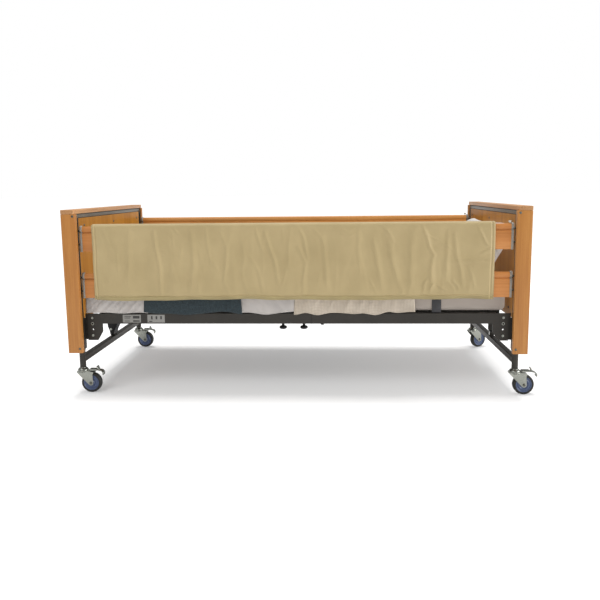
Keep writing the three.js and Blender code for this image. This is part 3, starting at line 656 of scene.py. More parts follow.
# ------------------------------------------------------------------ wooden ends
@dataclass
class WoodenEnd:
    """One end of the bed: two posts, the cap, both panels and the screws that hold them."""
    end: End
    post_width: float = 69.5
    post_thick: float = 24.0
    cap_width: float = 62.0
    cap_thick: float = 20.0
    screw_radius: float = 6.0
    screw_inset: float = 12.5
    panel_screw_y: tuple[float, ...] = (-395.0, 15.0, 420.0)
    panel_screw_z: tuple[float, ...] = (834.0, 420.0)

    def build(self) -> None:
        """Makes and places the end's pieces."""
        way, label = self.end.value, self.end.label
        outer = way * HALF_LENGTH
        cap = Skin()
        xs = sorted((outer, outer - way * self.cap_width))
        block(cap, (xs[0], -HALF_WIDTH, TOP_Z - self.cap_thick), (xs[1], HALF_WIDTH, TOP_Z), 1, 3.0, 1.5,
              cap_index=1)
        install(cap.piece(f"{label}_cap", CAP_BEECH, END_GRAIN), "bed", "beech_solid",
                f"{label}_wood_frame")
        xs = sorted((outer, outer - way * self.post_width))
        for side in Side:
            ys = sorted((side.value * HALF_WIDTH, side.value * (HALF_WIDTH - self.post_thick)))
            post = Skin()
            block(post, (xs[0], ys[0], WOOD_BOTTOM_Z), (xs[1], ys[1], TOP_Z - self.cap_thick - 0.6), 2, 3.0,
                  1.2)
            install(post.piece(f"{label}_{side.label}_post", POST_BEECH), "bed", "beech_solid")
            self.post_screws(side)
        self.panel_screws()
        self.top_rail()
        repaint(BACK_BEECH, [f"{label}_outer_panel"])
        repaint(PANEL_BEECH, [f"{label}_inner_panel"])
        repaint(POWDER_COAT, [f"{label}_steel_frame"])

    def screw(self, skin: Skin, centre: Sequence[float], axis: int, way: float, radius: float) -> None:
        """A domed screw head standing on a face, with a recess in its middle."""
        dome = [(radius, 0), (radius * 0.97, 0.8), (radius * 0.7, 2.4), (radius * 0.34, 3.0),
                (radius * 0.3, 1.6), (0, 1.6)]
        profile = rounded(dome, 1.0, 3, closed=False)
        profile = np.concatenate([[[0, -0.5], [radius, -0.5]], profile])
        profile[:, 1] *= way
        turned(skin, profile, centre, axis, 20)

    def post_screws(self, side: Side) -> None:
        """The two round screws on a post's outer side."""
        way, label = self.end.value, self.end.label
        inner = way * (HALF_LENGTH - self.post_width + self.screw_inset)
        skin = Skin()
        for z in (TOP_Z - self.cap_thick - 11, WOOD_BOTTOM_Z + 22):
            self.screw(skin, (inner, side.value * HALF_WIDTH, z), 1, side.value, self.screw_radius)
        install(skin.piece(f"{label}_{side.label}_post_screws", DARK_ZINC), "bed", "zinc_plate")

    def panel_screws(self) -> None:
        """The rows of screws in the inner panel."""
        way, label = self.end.value, self.end.label
        face = (corner(f"{label}_inner_panel", way < 0)[0] - BED_MIDDLE_X)
        skin = Skin()
        for z in self.panel_screw_z:
            for y in self.panel_screw_y:
                self.screw(skin, (face, y, z), 0, -way, self.screw_radius)
        install(skin.piece(f"{label}_panel_screws", DARK_ZINC), "bed", "zinc_plate")

    def top_rail(self) -> None:
        """A lighter strip on the face of the dark-coated steel rail under the cap: a painted reflection of
        the light.
        """
        way, label = self.end.value, self.end.label
        face = way * 1040.0
        xs = sorted((face - way * 1.2, face + way * 0.3))
        skin = Skin()
        block(skin, (xs[0], -484, 873.5), (xs[1], 484, 888.5), 1, 0.6, 0.6)
        install(skin.piece(f"{label}_top_rail_face", TOP_RAIL_REFLECTION_STEEL), "bed", "powder_coat")


# ------------------------------------------------------------------ legs and drives
@dataclass
class LegFrame:
    """Two round legs and the square bar between them, welded."""
    end: End
    leg_x: float = 1064.0
    leg_y: float = 445.0
    radius: float = 15.0
    bar_low: float = 155.0
    bar_size: float = 30.0
    leg_low: float = 127.5
    leg_high: float = 800.0

    def build(self) -> None:
        """Makes and places the leg frame."""
        way, label = self.end.value, self.end.label
        x = way * self.leg_x
        body = f"{label}_legs"
        frame_skin = Skin()
        half = self.bar_size / 2
        block(frame_skin, (x - half, -self.leg_y, self.bar_low),
              (x + half, self.leg_y, self.bar_low + self.bar_size), 1, 3.5, 0.5)
        for side in Side:
            rod(frame_skin, (x, side.value * self.leg_y, self.leg_low), 2, self.leg_high - self.leg_low,
                self.radius)
        for y in (-11.0, 11.0):
            block(frame_skin, (x - 12, y - 2, self.bar_low + self.bar_size - 1),
                  (x + 12, y + 2, self.bar_low + self.bar_size + 24), 1, 3, 0.5)
        install(frame_skin.piece(f"{label}_legs_and_bar", POWDER_COAT), body, "powder_coat",
                f"{label}_leg_frame")


@dataclass
class LiftDrives:
    """The two height drives: one hangs from the bed at the head, one stands on the leg bar at the foot."""
    leg_x: float = 1064.0
    tube_top: float = 720.0

    def build(self) -> None:
        """Makes and places both drives' visible pieces."""
        self.head()
        self.foot()
        repaint(ROD_STEEL, ["head_lift_rod", "foot_lift_rod"])

    def head(self) -> None:
        """The head drive's gearbox, motor, hanger and tubes."""
        x = self.leg_x
        housing = Skin()
        block(housing, (x - 34, -42, 268), (x + 32, 42, 345), 2, 9, 4)
        block(housing, (x - 17, -30, 343), (x + 17, 30, 384.4), 2, 4, 2)
        block(housing, (1004, -22, 275), (1033, 22, 338), 0, 9, 4)
        for z in (286, 300, 314, 328):
            block(housing, (x - 35.4, -36, z - 2), (x - 33, 36, z + 2), 1, 1, 0.5)
        install(housing.piece("head_drive_housing", BLACK_PLASTIC), "bed", "motor_housing",
                "head_lift_motor")
        tubes = Skin()
        rod(tubes, (x, 0, 216), 2, 53, 18.5, 2.0)
        rod(tubes, (x, 0, 384), 2, self.tube_top - 384, 14, 1.0)
        install(tubes.piece("head_drive_tubes", POWDER_COAT), "bed", "powder_coat")
        boot = Skin()
        rod(boot, (x, 0, 206), 2, 11, 15, 2.0)
        install(boot.piece("head_drive_wiper", BLACK_PLASTIC), "bed", "motor_housing")

    def foot(self) -> None:
        """The foot drive's pointed gearbox, its pin and its guide tube."""
        outline = rounded([(-1053, 190), (-1073, 190), (-1075, 214), (-1086, 242), (-1086, 340),
                           (-980, 340), (-980, 322), (-1012, 296),
                           (-1036, 240), (-1050, 214)], 9)
        housing = Skin()
        extruded(housing, outline, 1, -36, 36, 4)
        install(housing.piece("foot_drive_housing", BLACK_PLASTIC), "foot_legs", "motor_housing",
                "foot_lift_motor")
        tube = Skin()
        rod(tube, (-self.leg_x, 0, 338), 2, self.tube_top - 338, 14, 1.0)
        install(tube.piece("foot_drive_tube", POWDER_COAT), "foot_legs", "powder_coat")
        pin = Skin()
        rod(pin, (-self.leg_x - 2, -40, 226), 1, 80, 7, 1.5)
        install(pin.piece("foot_drive_pin", ZINC), "foot_legs", "zinc_plate")


# ------------------------------------------------------------------ castors
@dataclass
class Castor:
    """A 100 mm total-lock castor: domed head, pressed fork, blue wheel, black tread, axle and pedal."""
    end: End
    side: Side
    swivel: float = 0.0
    leg_x: float = 1064.0
    leg_y: float = 445.0
    trail: float = 42.0
    radius: float = 50.0
    width: float = 30.0

    def build(self) -> None:
        """Makes and places the castor's pieces."""
        name = f"{self.end.label}_{self.side.label}_castor"
        self.place(self.fork(), f"{name}_fork_plates", ZINC, f"{name}_swivelling", "zinc_plate",
                   f"{name}_fork")
        self.place(self.head(), f"{name}_head", ZINC, f"{name}_swivelling", "zinc_plate")
        self.place(self.axle(), f"{name}_axle", DARK_ZINC, f"{name}_swivelling", "zinc_plate")
        self.place(self.hub(), f"{name}_hub", HUB_BLUE, f"{name}_turning", "castor_wheel", f"{name}_wheel")
        self.place(self.tread(), f"{name}_tread", TREAD_RUBBER, f"{name}_turning", "castor_tread")
        self.place(self.pedal(), f"{name}_brake_pedal", ZINC, f"{name}_brake", "zinc_plate",
                   f"{name}_pedal")

    def place(self, skin: Skin, name: str, finish: Finish, body: str, slot: str, *nodes: str) -> None:
        """Turns a mesh by the swivel angle, moves it under its leg and installs it."""
        turn = math.radians(self.swivel)
        spin = np.array([[math.cos(turn), -math.sin(turn), 0], [math.sin(turn), math.cos(turn), 0],
                         [0, 0, 1]])
        move = np.array([self.end.value * self.leg_x, self.side.value * self.leg_y, 0])
        skin.points = [points @ spin.T + move for points in skin.points]
        install(skin.piece(name, finish), body, slot, *nodes)

    def fork(self) -> Skin:
        """Two side plates that lean back to the axle, and the crown that joins them."""
        skin = Skin()
        turn = np.radians(np.linspace(218, 340, 5))
        boss = np.stack([self.trail + 13.5 * np.cos(turn), self.radius + 13.5 * np.sin(turn)], -1)
        outline = rounded([(-26, 112), (-27, 104), *boss, (52.5, 84), (52, 94), (57, 100), (57, 104.5),
                           (34, 111)], 3.5)
        for y in (-20.0, 17.5):
            extruded(skin, outline, 1, y, y + 2.5, 0.6)
        crown = rounded([(-23, 106), (32, 106), (57, 101), (57, 104), (33, 110), (-23, 111.6)], 1.2)
        extruded(skin, crown, 1, -18.5, 18.5, 0.4)
        return skin

    def head(self) -> Skin:
        """The domed bearing head with its race ring."""
        skin = Skin()
        dome = [(0, 101), (19, 101), (25.5, 105), (27, 111), (25.5, 118), (20, 124), (16.2, 125.5),
                (15.8, 128), (0, 128)]
        turned(skin, rounded(dome, 2.5, 4, closed=False), (0, 0, 0), 2, 40)
        race = [(23, 107.5), (27.6, 107.5), (28.6, 109), (27.6, 110.5), (23, 110.5)]
        ring_turned(skin, rounded(race, 0.8, 3), (0, 0, 0), 2, 40)
        return skin

    def axle(self) -> Skin:
        """The axle's domed rivet heads and its shaft."""
        skin = Skin()
        profile = [(0, -24.5), (4, -24.3), (7, -22.4), (7, -20.2), (5.5, -20), (5.5, 20), (7, 20.2),
                   (7, 22.4), (4, 24.3), (0, 24.5)]
        turned(skin, rounded(profile, 0.8, 3, closed=False), (self.trail, 0, self.radius), 1, 24)
        return skin

    def hub(self) -> Skin:
        """The wheel body: concentric steps from the bearing out to the tread, the same on both faces."""
        skin = Skin()
        half = self.width / 2
        face = [(6.4, half), (12, half), (13, half - 1), (15, half - 4), (20, half - 4.5), (22, half - 2),
                (27, half - 2),
                (29, half - 4.5), (33, half - 4), (35, half - 0.8), (38.2, half - 0.8), (38.2, 0)]
        outline = face + [(r, -y) for r, y in reversed(face[:-1])]
        ring_turned(skin, rounded(outline, 0.9, 2), (self.trail, 0, self.radius), 1, 56)
        return skin

    def tread(self) -> Skin:
        """The tread with rounded shoulders."""
        skin = Skin()
        half = self.width / 2
        outline = [(38.4, half - 1), (40, half), (47, half - 1.2), (49.6, half - 5),
                   (self.radius, half - 9), (self.radius, 9 - half),
                   (49.6, 5 - half), (47, 1.2 - half), (40, -half), (38.4, 1 - half)]
        ring_turned(skin, rounded(outline, 1.5, 2), (self.trail, 0, self.radius), 1, 64)
        return skin

    def pedal(self) -> Skin:
        """The bent brake pedal: a flat arm over the wheel, an upright release tab and a curved tread tab."""
        skin = Skin()
        arm = rounded([(29, 112.8), (78, 112.2), (87, 110), (95, 108.5), (101, 101), (100, 90), (103, 87),
                       (106, 92),
                       (105.5, 103), (98, 112), (89, 114.2), (80, 116), (29, 116)], 3.5)
        extruded(skin, arm, 1, -14, 14, 1.2)
        tab = rounded([(79.5, 113), (70.5, 131), (72, 134.5), (75.5, 133), (85, 114)], 2)
        extruded(skin, tab, 1, -11, 11, 1.2)
        for y in (-15.0, 12.6):
            cheek = rounded([(31, 112.4), (72, 112.4), (78, 114), (70, 119), (36, 119.4), (31, 116)], 2)
            extruded(skin, cheek, 1, y, y + 2.4, 0.6)
        return skin


# ------------------------------------------------------------------ side rails
@dataclass
class SideRail:
    """Two moulded beech boards with bent steel end caps, guide pins, sliders and the release catch."""
    side: Side
    middle_y: float = 479.0
    thick: float = 22.0
    height: float = 120.0
    bottoms: tuple[float, float] = (485.0, 711.0)
    end_x: float = 1013.5
    cap_x: float = 1025.0
    pin_radius: float = 4.5
    pin_pitch: float = 65.0

    def outline(self, bottom: float, grow: float = 0.0) -> Array:
        """The board's section in Y and Z: a beaded top edge over a square groove, and broken lower edges."""
        half, top = self.thick / 2 + grow, bottom + self.height + grow
        right = [(half, bottom - grow), (half, top - 33), (half - 7.0, top - 31), (half - 7.0, top - 26),
                 (half - 0.4, top - 24.5), (half, top - 14), (half - 3.0, top - 4), (3.5, top)]
        points = right + [(-y, z) for y, z in reversed(right)]
        rounded_points = rounded(points, 1.6, 3)
        return rounded_points + np.array([self.side.value * self.middle_y, 0])

    def build(self) -> None:
        """Makes and places the rail."""
        label = self.side.label
        body = f"{label}_rail"
        for bottom, place in zip(self.bottoms, ("lower", "upper")):
            board = Skin()
            extruded(board, self.outline(bottom), 0, -self.end_x, self.end_x, 0.8)
            # The far rail takes the lighter copy of the beech, which is painted light.
            beech = BOARD_BEECH if self.side == Side.NEAR else LIT_FAR_BOARD_BEECH
            install(board.piece(f"{label}_{place}_beech_board", beech), body, "beech_board",
                    f"{label}_{place}_board")
        for end in End:
            self.fitting(end, body)
        catch = Skin()
        top = self.bottoms[1] + self.height
        y = self.side.value * self.middle_y
        block(catch, (1001, y - 6, top + 5), (1013, y + 6, top + 13), 2, 4, 3)
        block(catch, (1004, y - 3.5, top + 2.7), (1010, y + 3.5, top + 7), 2, 1.5, 0.5)
        install(catch.piece(f"{label}_release_button", CATCH_PLASTIC), f"{label}_catch", "catch_plastic",
                f"{label}_rail_catch")

    def fitting(self, end: End, body: str) -> None:
        """A rail end's two caps, its four guide pins and the slider inside the guide channel."""
        name = f"{self.side.label}_{end.label}"
        caps = Skin()
        y = self.side.value * self.middle_y
        for bottom in self.bottoms:
            cap = self.outline(bottom, 1.6)
            cap[:, 1] = np.where(cap[:, 1] > bottom + self.height - 4, cap[:, 1] + 2.5, cap[:, 1])
            extruded(caps, cap, 0, end.value * (self.end_x + 0.2), end.value * self.cap_x, 1.6)
        install(caps.piece(f"{name}_end_caps", CAP_STEEL), body, "rail_cap_steel", f"{name}_rail_fitting")
        pins = Skin()
        for bottom in self.bottoms:
            for way in (-1, 1):
                z = bottom + self.height / 2 + way * self.pin_pitch / 2 + 6
                start = end.value * self.cap_x
                rod(pins, (min(start, start + end.value * 16), y, z), 0, 16, self.pin_radius, sides=20)
                low = min(start, start + end.value * 4)
                rod(pins, (low, y, z), 0, 4, self.pin_radius + 3, 1.0, sides=20)
        install(pins.piece(f"{name}_guide_pins", DARK_ZINC), body, "rail_cap_steel")
        slider = Skin()
        xs = sorted((end.value * 1042, end.value * 1053.5))
        block(slider, (xs[0], y - 11, self.bottoms[0] + 10),
              (xs[1], y + 11, self.bottoms[1] + self.height - 12), 2, 2, 2)
        install(slider.piece(f"{name}_slider", BLACK_PLASTIC), body, "knob_plastic")


# ------------------------------------------------------------------ padded rail cover
FOLD_RELIEF = 1.5
# The folds that hang in the padded cover: height, width, and the line of each as X and Z in millimetres.
# Heights and widths are given one by one; X and Z were worked out by a program.
FOLDS = (
    (1.8, 16, ((-780, 815), (-789, 726), (-787, 637), (-790, 509))),
    (3.6, 9, ((-663, 814), (-657, 732), (-640, 636), (-638, 508))),
    (2, 5, ((-570, 830), (-556, 806), (-538, 787))),
    (1.2, 5, ((-575, 806), (-569, 732))),
    (1, 5, ((-650, 725), (-623, 717), (-604, 706))),
    (2.8, 15, ((-486, 812), (-476, 738), (-476, 635), (-492, 508))),
    (1.5, 6, ((-414, 825), (-405, 731), (-391, 639))),
    (1.5, 8, ((-386, 669), (-362, 614))),
    (2, 8, ((-343, 798), (-316, 730), (-323, 635), (-333, 566), (-310, 504))),
    (1.5, 7, ((-234, 689), (-244, 621), (-236, 559), (-219, 504))),
    (1.8, 8, ((-210, 689), (-168, 620), (-148, 524))),
    (2.4, 7, ((-180, 827), (-161, 756), (-144, 705))),
    (3.4, 9, ((-134, 803), (-115, 736), (-89, 661), (-75, 559))),
    (1.6, 10, ((-10, 822), (-22, 735), (-22, 633))),
    (3, 8, ((17, 835), (48, 775), (58, 714), (69, 670))),
    (2.4, 9, ((23, 728), (58, 653), (46, 572), (47, 507))),
    (2.2, 12, ((141, 781), (149, 653), (161, 524))),
    (1.3, 6, ((231, 814), (254, 795), (281, 813))),
    (1, 6, ((227, 794), (254, 775), (284, 790))),
    (2.2, 6, ((410, 829), (446, 797), (468, 752))),
    (3.2, 14, ((447, 759), (462, 665), (485, 584), (512, 516))),
    (2.6, 13, ((377, 759), (393, 665), (415, 537))),
    (1.5, 6, ((358, 571), (392, 506))),
    (1.8, 16, ((560, 791), (554, 665), (543, 523))),
    (4.2, 7, ((601, 827), (623, 776), (636, 724), (658, 685))),
    (3, 12, ((652, 684), (644, 617), (650, 536))),
    (1.8, 5, ((628, 776), (684, 749), (737, 717))),
    (3, 12, ((719, 797), (718, 684), (714, 563))),
    (3, 11, ((749, 783), (761, 684), (782, 616), (791, 542))),
    (1.5, 4, ((742, 656), (837, 656), (923, 656))),
    (2.8, 6, ((856, 819), (877, 776), (899, 733), (922, 724))),
    (1.8, 6, ((869, 690), (898, 706), (922, 713))),
    (3, 6, ((610, 505), (614, 550), (625, 571))),
    (3.2, 6, ((641, 512), (645, 536), (656, 549))),
    (2.8, 6, ((675, 546), (696, 529), (716, 522))),
    (2.4, 5, ((721, 563), (738, 546), (748, 525))),
    (2.6, 6, ((744, 563), (768, 542), (776, 522))),
    (1.6, 7, ((818, 630), (836, 583), (847, 535))),
    (1.5, 8, ((94, 815), (131, 774), (139, 747))),
    (1.4, 8, ((307, 826), (304, 720), (314, 598))),
)


@dataclass
class BumperPad:
    """The khaki padded cover over the near rail: thin foam with a bound edge, a sewn hem and creases."""
    x0: float = -962.0
    x1: float = 938.0
    front_y: float = -503.0
    back_y: float = -463.5
    low: float = 474.0
    top: float = 842.5
    front_thick: float = 11.0
    back_thick: float = 4.0
    hem: float = 22.0
    border: float = 15.0
    step: float = 5.0
    roll_in: float = 12.0
    roll_height: float = 27.0
    sag_in: float = 5.0
    sag_height: float = 150.0
    edge_steps: tuple[float, ...] = (1.5, 4, 8, 12, 14, 16, 18, 22)

    def build(self) -> None:
        """Makes and places the pad."""
        x = np.linspace(self.x0, self.x1, int((self.x1 - self.x0) / self.step) + 1)
        edge_steps = np.array(self.edge_steps)
        x = np.unique(np.concatenate([x, self.x0 + edge_steps, self.x1 - edge_steps]))
        outer, inward = self.path()
        grid_x, s = np.meshgrid(x, np.arange(len(outer)), indexing="ij")
        y, z = outer[s, 0], outer[s, 1]
        normal_y, normal_z = inward[s, 0], inward[s, 1]
        lift = self.relief(grid_x, y, z)
        edge = np.minimum(grid_x - self.x0, self.x1 - grid_x)
        roll = np.sqrt(np.clip(edge / 9.0, 0, 1) * (2 - np.clip(edge / 9.0, 0, 1)))
        thick = np.where(z < self.top - 8, np.where(y < -480, self.front_thick, self.back_thick), 6.0)
        half = thick / 2
        centre_y, centre_z = y + normal_y * half, z + normal_z * half
        outer_y, outer_z = centre_y - normal_y * (half * roll + lift), centre_z - normal_z * (half * roll
                                                                                              + lift)
        inner_y, inner_z = centre_y + normal_y * half * roll, centre_z + normal_z * half * roll
        sway = self.sway(grid_x, z)
        wave = self.hem_wave(grid_x, z, y)
        up = z - self.low
        rolled = self.roll_in * np.clip(1 - up / self.roll_height, 0, 1) ** 2
        sagged = self.sag_in * np.clip(1 - up / self.sag_height, 0, 1) ** 2
        tuck = (y < -480) * (rolled + sagged)
        outer_y, inner_y = outer_y + tuck, inner_y + tuck
        outside = np.stack([grid_x + sway, outer_y, outer_z + wave], -1)
        inside = np.stack([grid_x + sway, inner_y, inner_z + wave], -1)[:, ::-1]
        skin = Skin()
        loop = np.concatenate([outside, inside], 1)
        skin.grid(loop, wrap=True)
        n = len(outer)
        for first in (0, (len(x) - 1) * 2 * n):
            ids = np.arange(2 * n) + first
            skin.strip(ids[:n], ids[n:][::-1])
        pad = skin.piece("bumper_pad_cover", PAD_COVER, smooth=60)
        self.shade_hem(pad)
        install(pad, "near_rail", "pad_cover", "bumper_pad")
        self.binding()

    def shade_hem(self, pad: bpy.types.Object) -> None:
        """Gives the turned-up hem the darker binding finish: painted shade on the hem, which faces down."""
        mesh = pad.data
        mesh.materials.append(PAD_BINDING_AND_HEM_SHADE.material())
        centres = np.empty(len(mesh.polygons) * 3)
        mesh.polygons.foreach_get("center", centres)
        centres = centres.reshape(-1, 3) / METRE
        # The front faces below the hem seam, which take the darker finish as painted shade.
        hem = (centres[:, 2] < self.low + self.hem - 2) & (centres[:, 1] < self.front_y + 22)
        mesh.polygons.foreach_set("material_index", hem.astype(np.int32))

    def path(self) -> tuple[Array, Array]:
        """The pad's outer line in Y and Z from the front hem to the back hem, and its inward normals."""
        corners = [(self.front_y, self.low), (self.front_y, self.top), (self.back_y + 1, self.top),
                   (self.back_y + 1, self.low + 4)]
        line = rounded(corners, 17, 8, closed=False)
        lengths = run_along(line)
        hem_steps = np.arange(0, self.hem + 12, 2.0)
        steps = np.unique(np.concatenate([np.arange(0, lengths[-1], self.step), hem_steps, lengths]))
        fine = resampled(line, steps)
        tangent = directions(fine)
        return fine, np.stack([tangent[:, 1], -tangent[:, 0]], -1)

    def relief(self, x: Array, y: Array, z: Array) -> Array:
        """How far the front stands proud: hanging folds, slow swells, fine slack, hem and border seams.

        Each fold is a ridge over a line of points: its height falls off as exp(-d squared) with the
        distance d from the
        line, faster on its foot side than on its head side, and fades over its two ends.
        """
        front = np.clip((-480 - y) / 12, 0, 1)
        down = np.clip((self.top - z) / (self.top - self.low), 0, 1)
        height = 1.3 * Ripple(11, (260, 700), lean=0.2)(x, z) + 0.5 * Ripple(12, (60, 200), lean=0.12)(x, z)
        for size, width, line in FOLDS:
            height += self.ridge(x, z, size, width, np.array(line, float))
        draw = np.random.default_rng(5)
        for at, middle, lean, size, width, span in draw.uniform((-920, 500, -0.35, 0.5, 6, 25),
                                                                (900, 800, 0.35, 1.6, 14, 90), (70, 6)):
            height += size * np.exp(-((x - at - lean * (z - middle)) / width) ** 2
                                    - ((z - middle) / span) ** 2)
        seam = 3.0 * np.exp(-((z - self.low - self.hem) / 3.0) ** 2)
        hem = np.clip((self.low + self.hem - z) / self.hem, 0, 1)
        height = height * np.clip(down * 9, 0, 1) * np.where(z < self.low + self.hem, 0.4,
                                                             1.0) + 2.0 * np.sin(math.pi * hem)
        for edge in (x - self.x0, self.x1 - x):
            seam = np.maximum(seam, np.exp(-((edge - self.border) / 3.2) ** 2) * 4.0)
            height *= np.where(edge < self.border, 0.35, 1.0)
        return (height - seam) * front

    @staticmethod
    def ridge(x: Array, z: Array, size: float, width: float, line: Array) -> Array:
        """One fold's height at every point."""
        nearest = np.full(x.shape, 1e9)
        signed = np.zeros(x.shape)
        place = np.zeros(x.shape)
        lengths = run_along(line)
        for (ax, az), (bx, bz), start in zip(line[:-1], line[1:], lengths[:-1]):
            dx, dz = bx - ax, bz - az
            length = math.hypot(dx, dz)
            t = np.clip(((x - ax) * dx + (z - az) * dz) / length ** 2, 0, 1)
            gap = np.hypot(x - ax - t * dx, z - az - t * dz)
            closer = gap < nearest
            nearest = np.where(closer, gap, nearest)
            signed = np.where(closer, (x - ax) - t * dx, signed)
            place = np.where(closer, start + t * length, place)
        share = place / lengths[-1]
        fade = np.sin(math.pi * (0.08 + 0.84 * share)) ** 0.6
        spread = np.where(signed < 0, 0.65 * width, 1.15 * width)
        return FOLD_RELIEF * size * fade * np.exp(-(nearest / spread) ** 2)

    def sway(self, x: Array, z: Array) -> Array:
        """How far the hanging cloth drifts along the rail, most at the free corners."""
        down = np.clip((self.top - z) / (self.top - self.low), 0, 1)
        return 2.5 * Ripple(21, (120, 300))(z, x * 0.2) * down * np.exp(-np.minimum(x - self.x0,
                                                                                    self.x1 - x) / 60)

    def hem_wave(self, x: Array, z: Array, y: Array) -> Array:
        """The hem's own waves, fading upwards."""
        near_hem = np.exp(-(z - self.low) / 45)
        return 2.3 * Ripple(22, (220, 620))(x, y) * near_hem

    def binding(self) -> None:
        """The sewn piping down both front edges."""
        skin = Skin()
        z = np.linspace(self.low + 3, self.top - 6, 60)
        turn = np.linspace(0, 2 * math.pi, 10, endpoint=False)
        for x in (self.x0 + 1.6, self.x1 - 1.6):
            centre = np.stack([x + 0.8 * Ripple(31, (80, 160))(z, z), np.full_like(z, self.front_y + 4.6),
                               z], -1)
            ring = centre[:, None] + 2.4 * np.stack([np.cos(turn), np.sin(turn), 0 * turn], -1)[None]
            skin.grid(ring, wrap=True, caps=True)
        install(skin.piece("bumper_pad_piping", PAD_BINDING_AND_HEM_SHADE), "near_rail", "pad_cover")


# ------------------------------------------------------------------ bedding
@dataclass
class Mattress:
    """A foam mattress in a stretch cover, made in three lengths."""
    low: float = 410.0
    high: float = 530.0
    half_width: float = 445.0
    half_length: float = 1012.0
    round_edge: float = 26.0
    splits: tuple[float, float] = (90.0, -155.0)

    def build(self) -> None:
        """Makes and places the three lengths."""
        lengths = (("mattress_head_length", self.splits[0], self.half_length,
                    ("bed", "backrest", 120.0, 275.0), ("mattress_back", "mattress_seat")),
                   ("mattress_seat_length", self.splits[1], self.splits[0], ("bed", "thigh", 45.0, -80.0),
                    ("mattress_thigh",)),
                   ("mattress_foot_length", -self.half_length, self.splits[1],
                    ("thigh", "calf", -235.0, -370.0), ("mattress_calf",)))
        for name, x0, x1, (body_a, body_b, start, end), nodes in lengths:
            piece = self.length(name, x0, x1)
            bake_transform(piece)
            dressed(piece, "mattress_cover", *nodes)

    def length(self, name: str, x0: float, x1: float) -> bpy.types.Object:
        """One length: a rounded section carried along X, drawn in at the mattress's own ends."""
        stations = [(x, 0.0) for x in np.arange(x0, x1, 12.0)] + [(x1, 0.0)]
        turns = np.radians([0, 15, 30, 45, 60, 75, 90])
        rounding = [(self.round_edge * (1 - math.sin(a)),
                     self.round_edge * (1 - math.cos(a))) for a in reversed(turns)]
        if x1 >= self.half_length:
            stations = [s for s in stations if s[0] < x1 - self.round_edge] + [(x1 - d, depth) for d,
                                                                               depth in reversed(rounding)]
        if x0 <= -self.half_length:
            stations = [(x0 + d, depth) for d, depth in rounding] + [s for s in stations if s[0] > x0
                                                                     + self.round_edge]
        w, lo, hi = self.half_width, self.low, self.high
        base = rounded([(-w, lo), (w, lo), (w, hi), (-w, hi)], self.round_edge, 8)
        base = self.refined(base, 15.0)
        slack = Ripple(41, (150, 420))
        fine = Ripple(42, (40, 130), lean=0.35)
        rings = []
        for x, depth in stations:
            ring = inset(base, depth) if depth else base.copy()
            swell = 1.2 * slack(x, ring[:, 0]) + 0.7 * fine(ring[:, 1] * 1.5, x * 0.25)
            side = np.abs(ring[:, 0]) > w - 6
            out = np.sign(ring[:, 0])
            ring[:, 0] -= np.where(side, out * (1.5 - swell), 0)
            ring[:, 1] -= np.where(~side & (ring[:, 1] > hi - 6), 1.2 - 0.8 * swell, 0)
            rings.append(np.insert(ring, 0, x, axis=1))
        skin = Skin()
        skin.grid(np.array(rings), wrap=True, caps=True)
        return skin.piece(name, MATTRESS_COVER, smooth=50)

    @staticmethod
    def refined(outline: Array, step: float) -> Array:
        """Adds points to a closed outline so that no side is longer than step."""
        closed = np.concatenate([outline, outline[:1]])
        result = []
        for a, b in zip(closed[:-1], closed[1:]):
            count = max(1, int(math.ceil(np.linalg.norm(b - a) / step)))
            result.append(a + (b - a) * (np.arange(count) / count)[:, None])
        return np.concatenate(result)


class Carry(Enum):
    """A cover's two bodies and a span along X between them; a cover is attached to its body only where both
    are the same.
    """
    CALF = ("calf", "calf", 0.0, 1.0)
    KNEE = ("thigh", "calf", -240.0, -365.0)
    THIGH = ("bed", "thigh", 30.0, -75.0)
    BACK = ("bed", "backrest", 120.0, 275.0)


